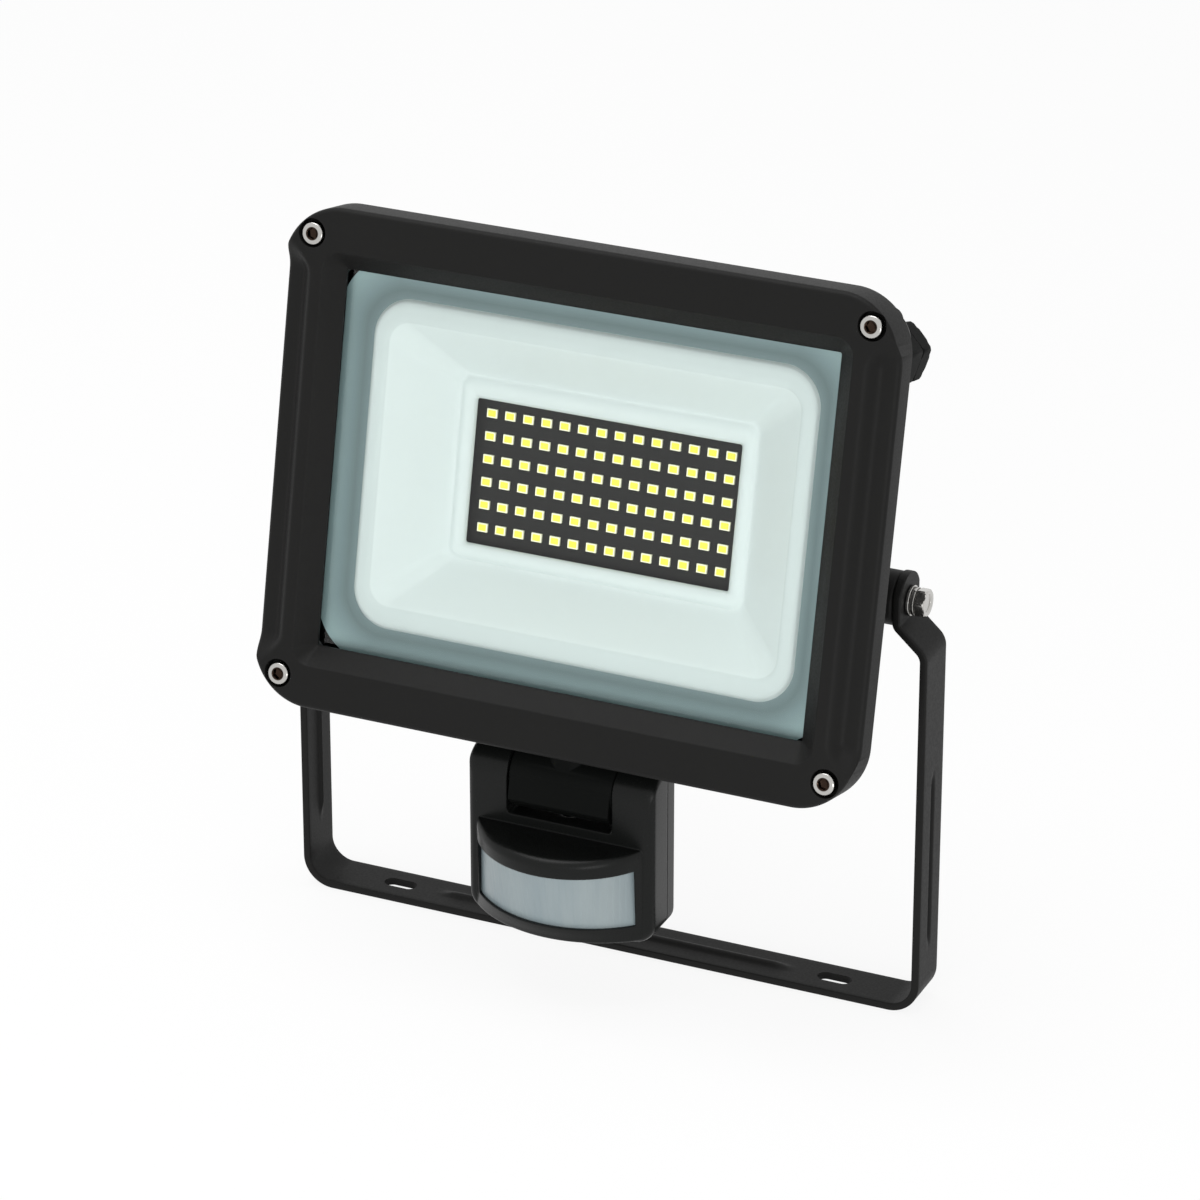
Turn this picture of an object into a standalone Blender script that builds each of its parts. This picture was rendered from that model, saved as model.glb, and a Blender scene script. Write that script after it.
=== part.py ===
"""Motion sensor floodlight: a flat die-cast head on a bent strip bracket, with a motion
sensor that swivels and tilts on a neck under the head.

World frame: metres, +Z up, front towards -Y. The origin is the middle of the underside
of the bracket's base, where the wall screws hold it.
The head is drawn upright in its own frame (x right, y back, z up, origin on the pivot
axis) and leans back by HEAD_LEAN. Depths in the head, called t, run back from its front
plane. The sensor is drawn in a frame on its tilt axis and hangs upright.
"""
import math

import bmesh
import bpy
from mathutils import Matrix

MM = 0.001

# Fits
GAP = 0.3 * MM              # between pieces that touch
HOLE_PLAY = 0.3 * MM        # round a shank in its hole

# Bracket
STRIP_WIDTH = 16.6 * MM
STRIP_THICK = 2.5 * MM
ARM_CLEARANCE = 4.0 * MM           # head's side to the arm's inner face
BASE_CLEARANCE = 22.87 * MM        # base to the sensor's bottom
BASE_BEND_INNER = 11.0 * MM
JOGGLE_BEND_INNER = 1.2 * MM
JOGGLE_OUT = 9.35 * MM             # from the ears' plane to the arms' plane
JOGGLE_TOP = 6.0 * MM              # below the pivot axis
JOGGLE_BOTTOM = 15.2 * MM
EAR_RADIUS = 9.0 * MM
SLOT_INSET = 31.3 * MM             # arm's outer face to the slot's centre
SLOT_LENGTH = 11.3 * MM
SLOT_WIDTH = 5.2 * MM
BEAD_WIDTH = 5.4 * MM
BEAD_HEIGHT = 1.2 * MM
BEAD_RUN_OUT = 7.0 * MM
BEAD_TO_SLOT = 14.0 * MM           # end of the base's bead to the slot's centre
ARM_BEAD_TOP = 56.0 * MM           # below the pivot axis
ARM_BEAD_BOTTOM = 20.4 * MM        # above the base's underside

# Head: front frame
HEAD_LEAN = math.radians(12.5)
CENTRE_Z = 19.3 * MM               # head centre above the pivot axis
FRONT_Y = -42.1 * MM               # front plane, ahead of the pivot axis
FRAME_HALF_W = 101.3 * MM
FRAME_HALF_H = 79.1 * MM
FRAME_CORNER = 19.5 * MM
FRAME_DEPTH = 13.3 * MM
FRAME_EDGE = 1.0 * MM              # rounding of the front edge, top and bottom
FRAME_EDGE_SIDE = 1.5 * MM         # and at the sides
LIP_INSET = 13.6 * MM              # outer edge to the crest round the window
WINDOW_INSET_W = 19.5 * MM
WINDOW_INSET_H = 19.35 * MM
WINDOW_HALF_W = FRAME_HALF_W - WINDOW_INSET_W
WINDOW_HALF_H = FRAME_HALF_H - WINDOW_INSET_H
WINDOW_CORNER = 2.0 * MM
LIP_DEPTH = 7.0 * MM               # front plane to the back of the window lip
LIP_LAND = 0.8 * MM                # square edge at the back of the bevel
POCKET_INSET = 10.0 * MM
POCKET_CORNER = 20.0 * MM
SCOOP_DEPTH = 4.4 * MM
SCOOP_WIDTH = 9.3 * MM
SCOOP_START = FRAME_HALF_W - SCOOP_WIDTH    # middle to the steep side's crest
SCOOP_COVE = 3.5 * MM
SCOOP_EDGE = 3.0 * MM              # rounding of the outer edge along the scoop
SCOOP_END_INSET = 22.7 * MM
SCOOP_HALF_LENGTH = FRAME_HALF_H - SCOOP_END_INSET    # floor, beside the cove
SCOOP_RAMP = 3.9 * MM
SCOOP_FLARE = 0.55                 # extra length for each unit of width
SCREW_INSET = 9.3 * MM             # from both edges of the frame
SCREW_X = FRAME_HALF_W - SCREW_INSET
SCREW_Z = FRAME_HALF_H - SCREW_INSET
SCREW_RADIUS = 2.0 * MM
SCREW_HEAD_RADIUS = 3.6 * MM
SCREW_HEAD_HEIGHT = 4.0 * MM
SCREW_LENGTH = 17.0 * MM
SCREW_BOSS_RADIUS = 3.9 * MM
SCREW_SOCKET_FLATS = 3.2 * MM
SCREW_SOCKET_DEPTH = 2.2 * MM
SCREW_SINK = 0.2 * MM              # head top behind the front plane
COUNTERBORE_RADIUS = 4.5 * MM

# Head: glass and seals
GASKET_THICK = 0.8 * MM
GASKET_WIDTH = 5.0 * MM
GLASS_THICK = 3.0 * MM
SEAL_INSET = 3.8 * MM
SEAL_CORNER = 30.0 * MM
SEAL_WIDTH = 2.4 * MM
SEAL_THICK = 1.0 * MM

# Head: rear housing
FLANGE_INSET = 1.4 * MM
FLANGE_THICK = 3.4 * MM
HOUSING_DEPTH = 22.9 * MM          # flange front to the back face
TRAY_INSET = 3.8 * MM
TRAY_TAPER = 5.0 * MM
TRAY_EDGE = 2.0 * MM
FLOOR_THICK = 3.0 * MM
CAVITY_INSET = 7.3 * MM
CAVITY_CORNER = 27.0 * MM
FIN_COUNT = 15
FIN_TO_GLAND = 19.9 * MM           # last fin's middle to the gland's axis
FIN_HEIGHT = 19.5 * MM
FIN_END_INSET = 13.1 * MM
FIN_HALF_LENGTH = FRAME_HALF_H - FIN_END_INSET
FIN_END_SLOPE = 5.0 * MM
FIN_ROOT = 2.6 * MM
FIN_TIP = 1.7 * MM
LUG_RADIUS = 8.5 * MM
LUG_LENGTH = 33.65 * MM

# Light source
LED_COLUMNS = 14
LED_ROWS = 6
LED_PITCH_X = 6.21 * MM
LED_PITCH_Z = 7.28 * MM
LED_WIDTH = 3.5 * MM
LED_HEIGHT = 2.8 * MM
LED_THICK = 0.75 * MM
LED_DROP = 0.8 * MM                # LED field centre below the head centre
LED_BOARD_EDGE = 3.5 * MM          # screw's middle to the board's edge
PCB_THICK = 1.6 * MM
BOARD_SCREW_OUT_W = 2.9 * MM       # outside the foot of the reflector's walls
BOARD_SCREW_OUT_H = 0.6 * MM
BOARD_SCREW_RADIUS = 1.2 * MM
BOARD_SCREW_HEAD = 2.3 * MM
BOARD_SCREW_HEAD_HEIGHT = 1.5 * MM
BOARD_SCREW_GRIP = 2.0 * MM        # into the floor

# Reflector
REFLECTOR_INSET_W = 6.3 * MM       # inside the window
REFLECTOR_INSET_H = 6.65 * MM
REFLECTOR_HALF_W = WINDOW_HALF_W - REFLECTOR_INSET_W
REFLECTOR_HALF_H = WINDOW_HALF_H - REFLECTOR_INSET_H
REFLECTOR_CORNER = 12.5 * MM
REFLECTOR_RIM_W = 6.7 * MM
REFLECTOR_RIM_H = 8.0 * MM
REFLECTOR_RIM_HEIGHT = 1.5 * MM
REFLECTOR_WALL = 1.3 * MM
BRIM_WIDTH = 12.0 * MM
APERTURE_MARGIN_W = 2.4 * MM       # round the LED field
APERTURE_MARGIN_H = 3.05 * MM
RIDGE_WIDTH_W = 5.1 * MM
RIDGE_WIDTH_H = 6.35 * MM
APERTURE_HALF_W = ((LED_COLUMNS - 1) * LED_PITCH_X + LED_WIDTH) / 2 + APERTURE_MARGIN_W
APERTURE_HALF_H = ((LED_ROWS - 1) * LED_PITCH_Z + LED_HEIGHT) / 2 + APERTURE_MARGIN_H
BASIN_HALF_W = APERTURE_HALF_W + RIDGE_WIDTH_W    # foot of the sloping walls
BASIN_HALF_H = APERTURE_HALF_H + RIDGE_WIDTH_H
BASIN_CORNER = 3.5 * MM
BASIN_LIFT = 3.2 * MM              # basin above the reflector's foot
RIDGE_HEIGHT = 1.3 * MM

# Driver and terminals
DRIVER_HALF_W = 50.0 * MM
DRIVER_HALF_H = 9.5 * MM
DRIVER_PARTS = (                   # x, width, height, thickness on the board
    (-34.0 * MM, 16.0 * MM, 14.0 * MM, 9.0 * MM),
    (-15.0 * MM, 18.0 * MM, 16.0 * MM, 11.0 * MM),
    (6.0 * MM, 9.0 * MM, 12.0 * MM, 8.0 * MM),
    (24.0 * MM, 12.0 * MM, 10.0 * MM, 5.0 * MM),
)
TERMINAL_TO_GLAND = 19.9 * MM      # block's middle to the gland's axis
TERMINAL_DROP = 4.0 * MM           # below the driver board's middle
TERMINAL_WIDTH = 17.0 * MM
TERMINAL_HEIGHT = 10.0 * MM
TERMINAL_DEPTH = 9.0 * MM
TERMINAL_WAYS = 3

# Cable gland
GLAND_INSET_X = 18.4 * MM
GLAND_INSET_Z = 25.5 * MM
GLAND_X = FRAME_HALF_W - GLAND_INSET_X
GLAND_Z = FRAME_HALF_H - GLAND_INSET_Z    # above the head centre
GLAND_FLATS = 17.8 * MM
GLAND_TURN = math.radians(14.6)    # first hexagon corner from +X
GLAND_THREAD = 6.0 * MM
GLAND_THREAD_LENGTH = 7.0 * MM
GLAND_BORE = 4.4 * MM
GLAND_HEX_LENGTH = 10.2 * MM
GLAND_NECK_RADIUS = 7.0 * MM
GLAND_NECK_LENGTH = 4.2 * MM
GLAND_NUT_LENGTH = 8.0 * MM
GLAND_NUT_END = 1.6 * MM
GLAND_MOUTH = 5.0 * MM
GLAND_SEAL_RADIUS = 5.7 * MM
GLAND_SEAL_BORE = 3.2 * MM
GLAND_SEAL_LENGTH = 4.5 * MM
GLAND_RING_RADIUS = 7.2 * MM
GLAND_RING_THICK = 1.0 * MM

# Pivot hardware
BOLT_RADIUS = 2.5 * MM
BOLT_FLATS = 8.0 * MM
BOLT_HEAD_HEIGHT = 3.2 * MM
BOLT_LENGTH = 20.0 * MM
BOLT_DISH_RADIUS = 2.6 * MM
BOLT_DISH_DEPTH = 0.5 * MM
WASHER_RADIUS = 4.8 * MM
WASHER_THICK = 0.9 * MM
SPRING_RADIUS = 4.4 * MM
SPRING_THICK = 1.1 * MM
SPRING_SPLIT = math.radians(14)

# Sensor neck
NECK_SETBACK = 10.6 * MM           # neck's axis behind the housing's front
KNUCKLE_RADIUS = 8.2 * MM
NECK_RADIUS = 7.4 * MM
COLLAR_RADIUS = 9.8 * MM
COLLAR_THICK = 1.5 * MM
NECK_SEAL_THICK = 1.2 * MM
NECK_SHAFT_RADIUS = 5.0 * MM
NECK_BORE = 3.2 * MM
NECK_BOSS_RADIUS = 10.2 * MM
NECK_BOSS_RISE = 1.3 * MM          # boss's end above the frame's lower edge
NECK_BOSS_LENGTH = 11.4 * MM
KNUCKLE_DROP = 13.1 * MM           # boss's end to the knuckle's middle
NECK_BOSS_BOTTOM = CENTRE_Z - FRAME_HALF_H + NECK_BOSS_RISE
NECK_BOSS_TOP = NECK_BOSS_BOTTOM + NECK_BOSS_LENGTH
KNUCKLE_Z = NECK_BOSS_BOTTOM - KNUCKLE_DROP
NECK_NUT_FLATS = 14.0 * MM
NECK_NUT_THICK = 4.0 * MM
NECK_SHAFT_PROUD = 1.2 * MM
PIN_RADIUS = 3.5 * MM
PIN_LENGTH = 4.4 * MM

# Sensor body, in the frame of its tilt axis
SENSOR_HALF_W = 31.5 * MM
SENSOR_HALF_DEPTH = 8.5 * MM
SENSOR_BOTTOM = -47.0 * MM
SENSOR_ROUND = 3.0 * MM
SENSOR_WALL = 2.0 * MM
SEAM_Y = 3.0 * MM
EAR_WIDTH = 13.5 * MM
NOTCH_HALF_W = SENSOR_HALF_W - EAR_WIDTH
NOTCH_FLOOR = -12.0 * MM
BULGE_INSET = 3.7 * MM
BULGE_CHORD = SENSOR_HALF_W - BULGE_INSET
HOOD_TOP = -15.3 * MM
HOOD_BULGE = 18.7 * MM
HOOD_LIP_BULGE = 18.2 * MM
RIM_TOP_BULGE = 13.4 * MM
RIM_BOTTOM_BULGE = 11.2 * MM
BULGE_BOTTOM = -46.9 * MM
LENS_TOP = -21.5 * MM
LENS_BOTTOM = -41.2 * MM
LENS_INSET = 1.3 * MM
LENS_CHORD = BULGE_CHORD - LENS_INSET
LENS_TOP_BULGE = 16.0 * MM
LENS_BOTTOM_BULGE = 12.0 * MM
LENS_THICK = 1.2 * MM
LENS_TUCK = 1.5 * MM               # lens behind the hood and the lower rim
COVER_SCREW_INSET = 4.5 * MM
COVER_SCREW_X = SENSOR_HALF_W - COVER_SCREW_INSET
COVER_SCREW_LOW = -42.4 * MM
COVER_SCREW_HIGH = -16.6 * MM
COVER_SCREW_RADIUS = 1.2 * MM
COVER_SCREW_HEAD = 2.2 * MM
COVER_SCREW_HEAD_HEIGHT = 1.4 * MM
COVER_SCREW_LENGTH = 8.0 * MM
COVER_BOSS_RADIUS = 2.9 * MM
SENSOR_BOARD_INSET = 3.5 * MM      # inside the cover screws
SENSOR_BOARD_HALF_W = COVER_SCREW_X - SENSOR_BOARD_INSET
SENSOR_BOARD_TOP = -15.0 * MM
SENSOR_BOARD_BOTTOM = -44.0 * MM
SENSOR_BOARD_Y = 0.6 * MM          # back of the board
RIB_X = 10.0 * MM
RIB_THICK = 1.5 * MM
DETECTOR_RADIUS = 4.6 * MM
DETECTOR_HEIGHT = 4.6 * MM
DETECTOR_Z = -31.0 * MM
RELAY_X = 14.5 * MM
RELAY_Z = -22.5 * MM
RELAY_WIDTH = 18.0 * MM
RELAY_HEIGHT = 9.0 * MM
RELAY_DEPTH = 7.5 * MM
DIAL_NAMES = ("sensitivity_dial", "time_dial", "light_level_dial")
DIAL_PITCH = 13.0 * MM
DIAL_Y = -3.0 * MM
DIAL_RADIUS = 3.3 * MM
DIAL_PROUD = 1.2 * MM
DIAL_SLOT_WIDTH = 0.9 * MM
DIAL_SLOT_DEPTH = 1.0 * MM
POT_WIDTH = 8.0 * MM
POT_HEIGHT = 5.0 * MM
POT_DEPTH = 4.6 * MM

# Finishes: colour, roughness, metallic
BLACK_PAINT = ((0.022, 0.022, 0.021), 0.55, 0.0)
BLACK_PLASTIC = ((0.016, 0.016, 0.015), 0.38, 0.0)
STAINLESS = ((0.60, 0.58, 0.54), 0.28, 1.0)
CLEAR_GLASS = ((0.55, 0.66, 0.66), 0.05, 0.0)
WHITE_PLASTIC = ((0.72, 0.76, 0.75), 0.45, 0.0)
MILKY_LENS = ((0.62, 0.72, 0.78), 0.35, 0.0)
BOARD_BLACK = ((0.008, 0.008, 0.008), 0.45, 0.0)
BOARD_GREEN = ((0.02, 0.12, 0.05), 0.5, 0.0)
RUBBER = ((0.012, 0.012, 0.012), 0.75, 0.0)
BRASS = ((0.55, 0.42, 0.18), 0.35, 1.0)

# Facets
CORNER_STEPS = 5
ROUND_SIDES = 24
MEDIUM_SIDES = 18
SMALL_SIDES = 12
TINY_SIDES = 8

# Depths behind the head's front plane
GASKET_T = LIP_DEPTH + GAP
GLASS_T = GASKET_T + GASKET_THICK + GAP
RIM_T = GLASS_T + GLASS_THICK + GAP
BRIM_T = RIM_T + REFLECTOR_RIM_HEIGHT
FLANGE_T = FRAME_DEPTH + GAP
BACK_T = FLANGE_T + HOUSING_DEPTH
FLOOR_T = BACK_T - FLOOR_THICK
PCB_T = FLOOR_T - GAP - PCB_THICK
FOOT_T = PCB_T - GAP
BASIN_T = FOOT_T - BASIN_LIFT
SCREW_BOSS_END = SCREW_SINK + SCREW_HEAD_HEIGHT + SCREW_LENGTH + 3 * MM

# Stations across the head
BRACKET_HALF_WIDTH = FRAME_HALF_W + ARM_CLEARANCE + STRIP_THICK    # to the arms' outer faces
SLOT_CENTRE = BRACKET_HALF_WIDTH - SLOT_INSET
BASE_BEAD_HALF = SLOT_CENTRE - BEAD_TO_SLOT
BACK_Y = FRONT_Y + BACK_T
EAR_OUTER = BRACKET_HALF_WIDTH - JOGGLE_OUT
EAR_INNER = EAR_OUTER - STRIP_THICK
LUG_END = EAR_INNER - GAP
LUG_START = LUG_END - LUG_LENGTH
FIN_PITCH = 2 * (GLAND_X - FIN_TO_GLAND) / (FIN_COUNT - 1)
TERMINAL_X = GLAND_X - TERMINAL_TO_GLAND
FLOOR_HALF_W = FRAME_HALF_W - CAVITY_INSET - TRAY_TAPER
FLOOR_HALF_H = FRAME_HALF_H - CAVITY_INSET - TRAY_TAPER
BOARD_SCREW_X = BASIN_HALF_W + BOARD_SCREW_OUT_W
BOARD_SCREW_Z = BASIN_HALF_H + BOARD_SCREW_OUT_H
LED_BOARD_HALF_W = BOARD_SCREW_X + LED_BOARD_EDGE
LED_BOARD_HALF_H = BOARD_SCREW_Z + LED_BOARD_EDGE
DRIVER_X = (TERMINAL_X - TERMINAL_WIDTH / 2 - FLOOR_HALF_W) / 2    # midway, wall to terminals
DRIVER_Z = (LED_BOARD_HALF_H + FLOOR_HALF_H) / 2    # midway, LED board to the top wall
TERMINAL_Z = DRIVER_Z - TERMINAL_DROP
NECK_Y = FRONT_Y + FLANGE_T + NECK_SETBACK
PIVOT_HEIGHT = (STRIP_THICK + BASE_CLEARANCE - SENSOR_BOTTOM
                + NECK_Y * math.sin(HEAD_LEAN) - KNUCKLE_Z * math.cos(HEAD_LEAN))
WASHER_X = EAR_OUTER + GAP
SPRING_X = WASHER_X + WASHER_THICK + GAP
BOLT_X = SPRING_X + SPRING_THICK + GAP

# Turns that bring a solid drawn along +Z to another direction
UPRIGHT = Matrix.Identity(4)
ALONG_X = Matrix.Rotation(math.radians(90), 4, "Y")
ALONG_MINUS_X = Matrix.Rotation(math.radians(-90), 4, "Y")
ALONG_Y = Matrix.Rotation(math.radians(-90), 4, "X")
ALONG_MINUS_Y = Matrix.Rotation(math.radians(90), 4, "X")


# Outlines

def circle(radius, sides=ROUND_SIDES):
    """Points of a circle, anticlockwise."""
    step = 2 * math.pi / sides
    return [(radius * math.cos(i * step), radius * math.sin(i * step)) for i in range(sides)]


def hexagon(flats, limit=math.inf, sides=SMALL_SIDES):
    """A hexagon, `flats` across its flats, whose corners are cut back to radius `limit`."""
    points = []
    for i in range(sides):
        angle = 2 * math.pi * i / sides
        off_flat = (angle % (math.pi / 3)) - math.pi / 6
        reach = min(flats / 2 / math.cos(off_flat), limit)
        points.append((reach * math.cos(angle), reach * math.sin(angle)))
    return points


def rounded_rectangle(half_w, half_h, radius, steps=CORNER_STEPS):
    """A rectangle with round corners, anticlockwise from the right."""
    points = []
    for quarter, (sx, sy) in enumerate(((1, 1), (-1, 1), (-1, -1), (1, -1))):
        cx, cy = sx * (half_w - radius), sy * (half_h - radius)
        for i in range(steps + 1):
            angle = math.pi / 2 * (quarter + i / steps)
            points.append((cx + radius * math.cos(angle), cy + radius * math.sin(angle)))
    return points


def obround(length, width):
    """A slot with round ends, along the first axis."""
    radius = width / 2
    shift = length / 2 - radius
    points = []
    for end in (1, -1):
        for i in range(7):
            angle = math.radians(30 * i - 90)
            points.append((end * (shift + radius * math.cos(angle)), end * radius * math.sin(angle)))
    return points


def bow_arc(chord, bulge, base_y, steps=14):
    """An arc that bows towards -Y by `bulge`, from -chord to +chord at base_y."""
    radius = (chord ** 2 + bulge ** 2) / (2 * bulge)
    sweep = math.asin(chord / radius)
    centre_y = base_y - bulge + radius
    points = []
    for i in range(steps + 1):
        angle = sweep * (2 * i / steps - 1)
        points.append((radius * math.sin(angle), centre_y - radius * math.cos(angle)))
    return points


# Solids, as (points, faces)

def loft(rings, closed=False):
    """Skin equal rings of points: capped at both ends, or closed round like a tyre."""
    count = len(rings[0])
    points = [point for ring in rings for point in ring]
    faces = []
    for k in range(len(rings) if closed else len(rings) - 1):
        a, b = k * count, ((k + 1) % len(rings)) * count
        for i in range(count):
            j = (i + 1) % count
            faces.append((a + i, a + j, b + j, b + i))
    if not closed:
        last = (len(rings) - 1) * count
        faces.append(tuple(range(count)))
        faces.append(tuple(range(last, last + count)))
    return points, faces


def stacked(layers, closed=False):
    """Loft of flat outlines up +Z: each layer is (outline, height)."""
    return loft([[(u, v, h) for u, v in outline] for outline, h in layers], closed)


def turned(profile, sides=ROUND_SIDES, closed=False):
    """Turned solid about +Z from (radius, height) pairs."""
    return stacked([(circle(radius, sides), h) for radius, h in profile], closed)


def rod(radius, low, high, sides=ROUND_SIDES):
    return turned([(radius, low), (radius, high)], sides)


def tube(inner, outer, low, high, sides=ROUND_SIDES):
    return turned([(inner, low), (outer, low), (outer, high), (inner, high)], sides, True)


def box(x, y, z):
    """Box from (low, high) pairs."""
    outline = [(x[0], y[0]), (x[1], y[0]), (x[1], y[1]), (x[0], y[1])]
    return stacked([(outline, z[0]), (outline, z[1])])


def head_stack(layers, closed=False):
    """Loft of outlines across the head: each layer is (outline, depth t)."""
    rings = []
    for outline, t in layers:
        rings.append([(u, FRONT_Y + t, CENTRE_Z + v) for u, v in outline])
    return loft(rings, closed)


def inset_outline(inset, radius=None):
    """The frame's outline moved in by `inset`, with its own corner radius if given."""
    corner = FRAME_CORNER - inset if radius is None else radius
    return rounded_rectangle(FRAME_HALF_W - inset, FRAME_HALF_H - inset, corner)


def moved(solid, place, turn=UPRIGHT):
    points, faces = solid
    matrix = Matrix.Translation(place) @ turn
    return [tuple((matrix @ Matrix.Translation(p)).to_translation()) for p in points], faces


def together(solids):
    """Several separate bodies as one mesh, for what is cut or joined on in one go."""
    points, faces = [], []
    for more_points, more_faces in solids:
        start = len(points)
        points += more_points
        faces += [tuple(i + start for i in face) for face in more_faces]
    return points, faces


# Objects

def make_object(name, solid, parent):
    points, faces = solid
    mesh = bpy.data.meshes.new(name)
    mesh.from_pydata(points, [], faces)
    bm = bmesh.new()
    bm.from_mesh(mesh)
    bmesh.ops.recalc_face_normals(bm, faces=bm.faces)
    bm.to_mesh(mesh)
    bm.free()
    obj = bpy.data.objects.new(name, mesh)
    bpy.context.scene.collection.objects.link(obj)
    obj.parent = parent
    return obj


def finish_material(name, finish):
    colour, roughness, metallic = finish
    material = bpy.data.materials.new(name + "_finish")
    material.use_nodes = True
    shader = material.node_tree.nodes["Principled BSDF"]
    shader.inputs["Base Color"].default_value = (*colour, 1.0)
    shader.inputs["Roughness"].default_value = roughness
    shader.inputs["Metallic"].default_value = metallic
    material.diffuse_color = (*colour, 1.0)
    return material


def piece(name, solid, finish, parent=None, place=(0, 0, 0), turn=UPRIGHT, smooth=35):
    """A named piece of the product with its own material, set at `place` and `turn`."""
    obj = make_object(name, solid, parent)
    obj.matrix_local = Matrix.Translation(place) @ turn
    obj.data.materials.append(finish_material(name, finish))
    obj.data.shade_smooth()
    obj.data.set_sharp_from_angle(angle=math.radians(smooth))
    return obj


def add_tool(target, name, solid, operation):
    """A Boolean step on the target, with `solid` drawn in the target's own frame."""
    obj = make_object(target.name + "_" + name, solid, target.parent)
    obj.location = target.location
    obj.rotation_euler = target.rotation_euler
    obj.hide_render = True
    obj.display_type = "WIRE"
    modifier = target.modifiers.new(name, "BOOLEAN")
    modifier.operation = operation
    modifier.object = obj


def cut(target, name, solid):
    add_tool(target, name, solid, "DIFFERENCE")


def join(target, name, solid):
    add_tool(target, name, solid, "UNION")


def axis_empty(name, parent, location, lean=0.0):
    """An empty on a joint's axis, for what turns about it."""
    obj = bpy.data.objects.new(name, None)
    bpy.context.scene.collection.objects.link(obj)
    obj.parent = parent
    obj.location = location
    obj.rotation_euler = (lean, 0.0, 0.0)
    obj.empty_display_size = 10 * MM
    return obj


def at_corners(x, z):
    """The four points (+-x, +-z)."""
    return [(sx * x, sz * z) for sz in (1, -1) for sx in (-1, 1)]


# Bracket

def bend(x, z, heading, turn, radius):
    """Stations (x, z, heading) round a bend whose straight sides would meet at (x, z)."""
    reach = radius * math.tan(abs(turn) / 2)
    side = math.copysign(1.0, turn)
    start_x = x - reach * math.cos(heading)
    start_z = z - reach * math.sin(heading)
    centre_x = start_x - side * radius * math.sin(heading)
    centre_z = start_z + side * radius * math.cos(heading)
    steps = max(2, round(math.degrees(abs(turn)) / 18))
    stations = []
    for i in range(steps + 1):
        angle = heading + turn * i / steps
        stations.append((centre_x + side * radius * math.sin(angle),
                         centre_z - side * radius * math.cos(angle), angle))
    return stations


def bead_ends(start, end):
    """Stations of a pressed bead as (position, height): it runs out smoothly at both ends."""
    stations = []
    for i in range(4):
        share = i / 3
        height = BEAD_HEIGHT * share * share * (3 - 2 * share)
        stations.append((start + math.copysign(share * BEAD_RUN_OUT, end - start), height))
    return stations + [(start + end - along, height) for along, height in reversed(stations)]


def strip_section(x, z, heading, half_width, height):
    """Points round the strip's section: across one face, and back across the other."""
    bead = min(BEAD_WIDTH / 2, 0.8 * half_width)
    across = [(-half_width, 0.0), (-bead, 0.0), (-bead / 2, 0.5), (0.0, 1.0),
              (bead / 2, 0.5), (bead, 0.0), (half_width, 0.0)]
    ring = []
    for side, row in ((0.5, across), (-0.5, reversed(across))):
        for y, share in row:
            off = side * STRIP_THICK + share * height
            ring.append((x - off * math.sin(heading), y, z + off * math.cos(heading)))
    return ring


def half_strip():
    """Sections from the middle of the base to the tip of the right ear."""
    half = STRIP_WIDTH / 2
    arm_x = BRACKET_HALF_WIDTH - STRIP_THICK / 2
    ear_x = arm_x - JOGGLE_OUT
    slope = math.atan2(JOGGLE_OUT, JOGGLE_BOTTOM - JOGGLE_TOP)
    up = math.pi / 2
    joggle_radius = JOGGLE_BEND_INNER + STRIP_THICK / 2
    sections = [strip_section(0.0, STRIP_THICK / 2, 0.0, half, BEAD_HEIGHT)]
    for x, height in bead_ends(-BASE_BEAD_HALF, BASE_BEAD_HALF)[4:]:
        sections.append(strip_section(x, STRIP_THICK / 2, 0.0, half, height))
    for x, z, heading in bend(arm_x, STRIP_THICK / 2, 0.0, up,
                              BASE_BEND_INNER + STRIP_THICK / 2):
        sections.append(strip_section(x, z, heading, half, 0.0))
    for drop, height in bead_ends(PIVOT_HEIGHT - ARM_BEAD_BOTTOM, ARM_BEAD_TOP):
        sections.append(strip_section(arm_x, PIVOT_HEIGHT - drop, up, half, height))
    joggle = bend(arm_x, PIVOT_HEIGHT - JOGGLE_BOTTOM, up, slope, joggle_radius)
    joggle += bend(ear_x, PIVOT_HEIGHT - JOGGLE_TOP, up + slope, -slope, joggle_radius)
    for x, z, heading in joggle:
        sections.append(strip_section(x, z, heading, half, 0.0))
    first = math.acos(half / EAR_RADIUS)
    last = math.radians(82)
    steps = 5
    for i in range(steps + 1):
        angle = first + (last - first) * i / steps
        sections.append(strip_section(ear_x, PIVOT_HEIGHT + EAR_RADIUS * math.sin(angle), up,
                                      EAR_RADIUS * math.cos(angle), 0.0))
    return sections


def build_bracket():
    """One bent strip: base with two wall slots, arms with pressed beads, and joggled ears."""
    right = half_strip()
    left = [[(-x, y, z) for x, y, z in section] for section in reversed(right[1:])]
    bracket = piece("bracket", loft(left + right), BLACK_PAINT)
    cuts = []
    for side in (-1, 1):
        slot = stacked([(obround(SLOT_LENGTH, SLOT_WIDTH), h)
                        for h in (-STRIP_THICK, 2 * STRIP_THICK)])
        cuts.append(moved(slot, (side * SLOT_CENTRE, 0, 0)))
        ear = rod(BOLT_RADIUS + HOLE_PLAY, EAR_INNER - STRIP_THICK, EAR_OUTER + STRIP_THICK,
                  MEDIUM_SIDES)
        turn = ALONG_X if side > 0 else ALONG_MINUS_X
        cuts.append(moved(ear, (0, 0, PIVOT_HEIGHT), turn))
    cut(bracket, "slots_and_holes", together(cuts))


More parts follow.
